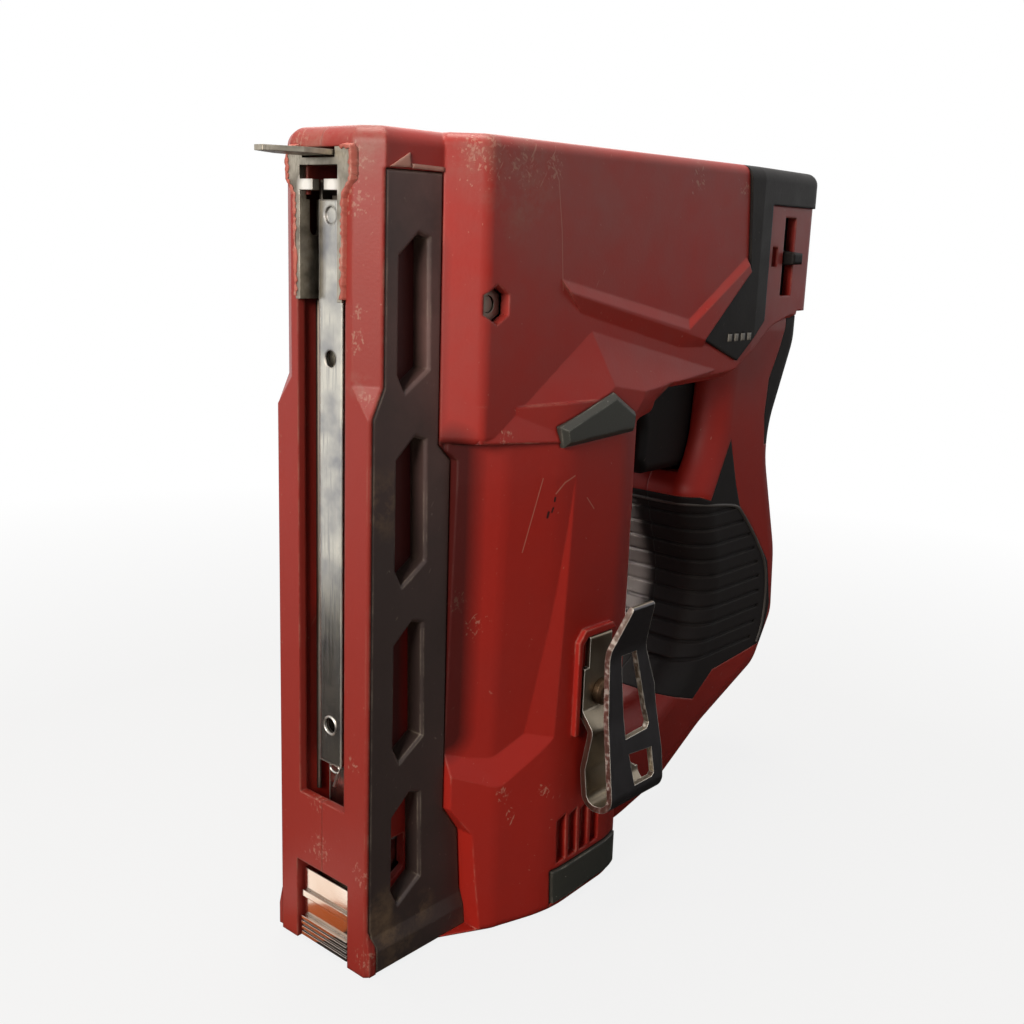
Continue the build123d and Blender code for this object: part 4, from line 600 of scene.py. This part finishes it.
# Torn rim of red plastic that staples have beaten over the nose plate's edge: half a path, as (y, z) points
RIM_PATH = [(8.1, 168.2), (8.4, 191), (9.6, 192.6), (11, 194.4), (11, 201.3), (6.6, 201.3)]
RIM_STEP = 0.7
RIM_FOOT = 1.1
RIM_FOOT_X = -63.8
RIM_CROWN_X = -66.0
RIM_LIP_X = (-65.95, -65.6)
RIM_CORNERS = 4
# Least and most that the lip is torn inwards, and that the crown leans and rises
LIP_TEAR = (0.05, 0.9)
CROWN_LEAN = (0.0, 0.4)
CROWN_RISE = (0.0, 0.3)
for side, label in SIDES:
    chance = random.Random(label)
    stations = []
    for start, end in zip(RIM_PATH, RIM_PATH[1:]):
        run = Vector(end) - Vector(start)
        outward = Vector((run.y, -run.x)).normalized()
        pieces = max(1, round(run.length / RIM_STEP))
        stations += [(Vector(start) + run * (i / pieces), outward) for i in range(pieces)]
    rim_points = []
    for at, outward in stations:
        lip = at - outward * chance.uniform(*LIP_TEAR)
        crown = at + outward * chance.uniform(*CROWN_LEAN)
        foot = at + outward * RIM_FOOT
        crown_x = RIM_CROWN_X - chance.uniform(*CROWN_RISE)
        section = ((foot, RIM_FOOT_X), (crown, crown_x), (lip, RIM_LIP_X[0]), (lip, RIM_LIP_X[1]))
        rim_points += [(x, side * corner.x, corner.y) for corner, x in section]
    rim_faces = tube_faces(len(stations), RIM_CORNERS)
    faceted(label + "_torn_rim", rim_points, rim_faces, "housing", torn_nylon)

# Rounded rim that frames the ribbed pad: across the front of the grip, over its shoulder, down the back edge
PAD_RIM = [(70.2, 0, 101.9), (70.3, 6, 101.9), (70.8, 12.5, 102), (73.6, 16.6, 102), (79, 18.8, 101.4),
           (86.5, 19, 100.5), (94, 19, 99.2), (97, 19, 97.4), (106.4, 19, 88.2), (116.4, 19, 76.2),
           (118.2, 19, 68), (118.6, 19, 60), (117, 19, 50), (114.5, 19, 47)]
PAD_RIM_RADIUS = 0.55
for side, label in SIDES:
    wire(label + "_pad_rim", [(x, side * y, z) for x, y, z in PAD_RIM], PAD_RIM_RADIUS, "housing",
         rim_rubber_worn_and_sheen)

# Loop and tail of the pusher spring, hooked out below the rail
LOOP_X = -61.3
LOOP_MIDDLE = (-0.8, 50.8)
LOOP_HALF = (1.9, 1.2)
TAIL = [(-2.2, 50.2), (-1.9, 49.2), (-1.2, 47.4), (-0.6, 45.8)]
LOOP_WIRE = 0.35
TAIL_WIRE = 0.5
LOOP_KNOTS = 10
TURNS = [math.tau * i / LOOP_KNOTS for i in range(LOOP_KNOTS)]
loop = [(LOOP_X, LOOP_MIDDLE[0] + LOOP_HALF[0] * math.cos(t), LOOP_MIDDLE[1] + LOOP_HALF[1] * math.sin(t))
        for t in TURNS]
wire("pusher_spring_loop", loop, LOOP_WIRE, "drawer", bright_wire, closed=True)
wire("pusher_spring_tail", [(LOOP_X, y, z) for y, z in TAIL], TAIL_WIRE, "drawer",
     bright_wire)

# Burred lip round the rail's lower hole
RAIL_FACE_X = -62.2
HOLE_Z = 62.4
LIP_RADIUS = 2.35
LIP_BEAD = 0.3
lip_ring = [(RAIL_FACE_X, LIP_RADIUS * math.cos(t), HOLE_Z + LIP_RADIUS * math.sin(t)) for t in TURNS]
wire("rail_hole_lip", lip_ring, LIP_BEAD, "drawer", bright_wire, closed=True)

# Folded steel edge of the magazine along the far wall of the rail's opening: a lip with a turned-in bead
EDGE_SECTION = [(-58.9, 9.4), (-58.9, 8.7), (-58.6, 8.3), (-58.1, 8.3), (-57.8, 8.7), (-57.8, 9.4)]
EDGE_Z = (41.2, 167.0)
edge_points = [(x, y, z) for z in EDGE_Z for x, y in EDGE_SECTION]
faceted("magazine_edge", edge_points, tube_faces(2, len(EDGE_SECTION)), "housing", zinc_plate)

# Springs that the work, the finger and the staples press together: round wire in the space of the CAD coils
COIL_SIDES = 8
STEPS_PER_TURN = 16


def pressed_spring(name, node, body, along, wire_radius, turns):
    """Coil in the box of a CAD coil, along axis 0, 1 or 2.
    """
    low, high = (Vector(corner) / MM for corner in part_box(node))
    across = [k for k in range(3) if k != along]
    line = [0, 0, 0]
    line[along] = 1
    upward = Vector(line)
    length = high[along] - low[along]
    radius = (high - low)[across[0]] / 2 - wire_radius
    rise = length - 2 * wire_radius
    steps = STEPS_PER_TURN * turns
    points = []
    for i in range(steps + 1):
        turn = math.tau * turns * i / steps
        outward = Vector((0, 0, 0))
        outward[across[0]] = math.cos(turn)
        outward[across[1]] = math.sin(turn)
        middle = (low + high) / 2 + outward * radius
        middle[along] = low[along] + wire_radius + rise * i / steps
        for k in range(COIL_SIDES):
            side = math.tau * k / COIL_SIDES
            points.append(middle + (outward * math.cos(side) + upward * math.sin(side)) * wire_radius)
    spring = faceted(name, points, tube_faces(steps + 1, COIL_SIDES), body, spring_wire)
    spring.data.shade_smooth()
    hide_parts(node)
    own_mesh(spring)


pressed_spring("contact_coil", "contact_spring", "housing", along=0,
               wire_radius=0.25, turns=6)
pressed_spring("trigger_coil", "trigger_spring", "housing", along=0,
               wire_radius=0.4, turns=6)
pressed_spring("pusher_coil", "pusher_spring", "drawer", along=2,
               wire_radius=0.3, turns=8)


def shown_directly(tree):
    """1 for what the camera, a reflection or a clear part sees; 0 for light falling on the tool."""
    path = add_node(tree, "LightPath")
    return strongest(tree, [(path, "Is Camera Ray"), (path, "Is Glossy Ray"), (path, "Is Transmission Ray")])


# Studio: a white paper sweep that fades into a white surround, so no horizon shows
FLOOR_HALF = 3.0
FLOOR_Z = -0.5 * MM
FLOOR_CORNERS = ((-1, -1), (1, -1), (1, 1), (-1, 1))
NEAR_GLOW = 0.85
GLOW_REACH = (0.2, 0.55)
floor_mesh = bpy.data.meshes.new("studio floor")
floor_mesh.from_pydata([(x * FLOOR_HALF, y * FLOOR_HALF, 0) for x, y in FLOOR_CORNERS], [], [(0, 1, 2, 3)])
floor = bpy.data.objects.new("studio_floor", floor_mesh)
bpy.context.scene.collection.objects.link(floor)
floor.location.z = FLOOR_Z
paper, floor_tree, floor_shader = new_material("white paper sweep", Roughness=0.9,
                                               Base_Color=linear("#8e8d8a"))
sweep = add_node(floor_tree, "TexCoord")
reach = add_node(floor_tree, "VectorMath", {"operation": "LENGTH"}, [(0, sweep, "Object")])
glow = add_node(floor_tree, "MapRange",
                {"From Min": GLOW_REACH[0], "From Max": GLOW_REACH[1], "To Min": NEAR_GLOW},
                [("Value", reach, "Value")])
glow = add_node(floor_tree, "Math", {"operation": "MULTIPLY"},
                [(0, glow, "Result"), (1, *shown_directly(floor_tree))])
white = add_node(floor_tree, "Emission", {"Color": linear("#ffffff"), "Strength": 1.0})
mixed = add_node(floor_tree, "MixShader", {},
                 [(0, glow, "Value"), (1, floor_shader, "BSDF"), (2, white, "Emission")])
feed(floor_tree, (mixed, "Shader"), floor_tree.nodes["Material Output"], "Surface")
floor_mesh.materials.append(paper)

AMBIENT = 0.045
world = bpy.data.worlds.new("studio")
bpy.context.scene.world = world
world.use_nodes = True
surround = world.node_tree.nodes["Background"]
surround.inputs["Color"].default_value = linear("#ffffff")
level = add_node(world.node_tree, "MapRange", {"To Min": AMBIENT},
                 [("Value", *shown_directly(world.node_tree))])
feed(world.node_tree, (level, "Result"), surround, "Strength")

CLOTH_CORNERS = 64


def bench_cloth(name, centre, radius, height, tone):
    """Round cloth lying under the tool, seen only in reflections."""
    turns = [math.tau * i / CLOTH_CORNERS for i in range(CLOTH_CORNERS)]
    cloth_mesh = bpy.data.meshes.new(name)
    cloth_mesh.from_pydata([(radius * math.cos(t), radius * math.sin(t), 0) for t in turns], [],
                           [list(range(CLOTH_CORNERS))])
    cloth_mesh.materials.append(new_material(name, Roughness=1.0, Base_Color=linear(tone))[0])
    cloth = bpy.data.objects.new(name, cloth_mesh)
    cloth.location = (*centre, height)
    cloth.visible_camera = False
    cloth.visible_diffuse = False
    cloth.visible_shadow = False
    bpy.context.scene.collection.objects.link(cloth)


# Low parts mirror the dark mat, the nose mirrors the white above, and the latch mirrors two scraps
bench_cloth("dark_mat", (0.8, -0.8), radius=1.5, height=-0.4 * MM, tone="#1c1817")
bench_cloth("white_scrap", (-0.088, 0.026), radius=0.016, height=-0.3 * MM, tone="#ffffff")
bench_cloth("brown_scrap", (-0.071, 0.012), radius=0.009, height=-0.2 * MM, tone="#a85a2c")

LAMP_TINT = "#fff6ec"


def softbox(name, place, aim, size, watts, spread=180, lit=()):
    """Square area lamp aimed at a spot; a grid narrows its spread, and flags keep it to the lit pieces."""
    lamp = bpy.data.lights.new(name, "AREA")
    lamp.size = size
    lamp.energy = watts
    lamp.spread = math.radians(spread)
    lamp.color = linear(LAMP_TINT)[:3]
    holder = bpy.data.objects.new(name, lamp)
    holder.location = place
    holder.rotation_euler = (Vector(aim) - Vector(place)).to_track_quat("-Z", "Y").to_euler()
    bpy.context.scene.collection.objects.link(holder)
    if lit:
        holder.light_linking.receiver_collection = bpy.data.collections.new(name)
        for piece in lit:
            holder.light_linking.receiver_collection.objects.link(piece)


MIDDLE = (0, 0, 0.1)
GRIP_FRONT = (0.078, 0.010, 0.074)
GRIP_PIECES = [nodes["left_grip_pad"], nodes["right_grip_pad"], bpy.data.objects["left_pad_rim"],
               bpy.data.objects["right_pad_rim"]]
softbox("key", (-0.59, -0.14, 0.35), MIDDLE, size=0.22, watts=3.45)
# Light that comes past the body's far side and falls on the front of the grip alone
softbox("gap_light", (-0.349, 0.187, 0.345), GRIP_FRONT, size=0.03, watts=0.15, spread=16, lit=GRIP_PIECES)
softbox("top", (0.0, 0.12, 0.95), MIDDLE, size=0.4, watts=7.0)
softbox("back_fill", (0.9, 0.9, 0.7), MIDDLE, size=0.8, watts=5)

# Camera at the photograph's place: found from the beam's and the head's vanishing points
CAMERA_PLACE = (-0.2443, -0.2172, 0.1847)
RIGHT = Vector((0.664, -0.747, 0.035))
DOWN = Vector((-0.148, -0.177, -0.973))
FORWARD = Vector((0.733, 0.641, -0.229))
camera_data = bpy.data.cameras.new("photo camera")
camera_data.sensor_width = 36
camera_data.sensor_fit = "HORIZONTAL"
camera_data.lens = 42.18
camera = bpy.data.objects.new("photo_camera", camera_data)
turned = Matrix((RIGHT, -DOWN, -FORWARD)).transposed().to_4x4()
camera.matrix_world = Matrix.Translation(CAMERA_PLACE) @ turned
bpy.context.scene.collection.objects.link(camera)
bpy.context.scene.camera = camera
bpy.context.scene.view_settings.view_transform = "Standard"
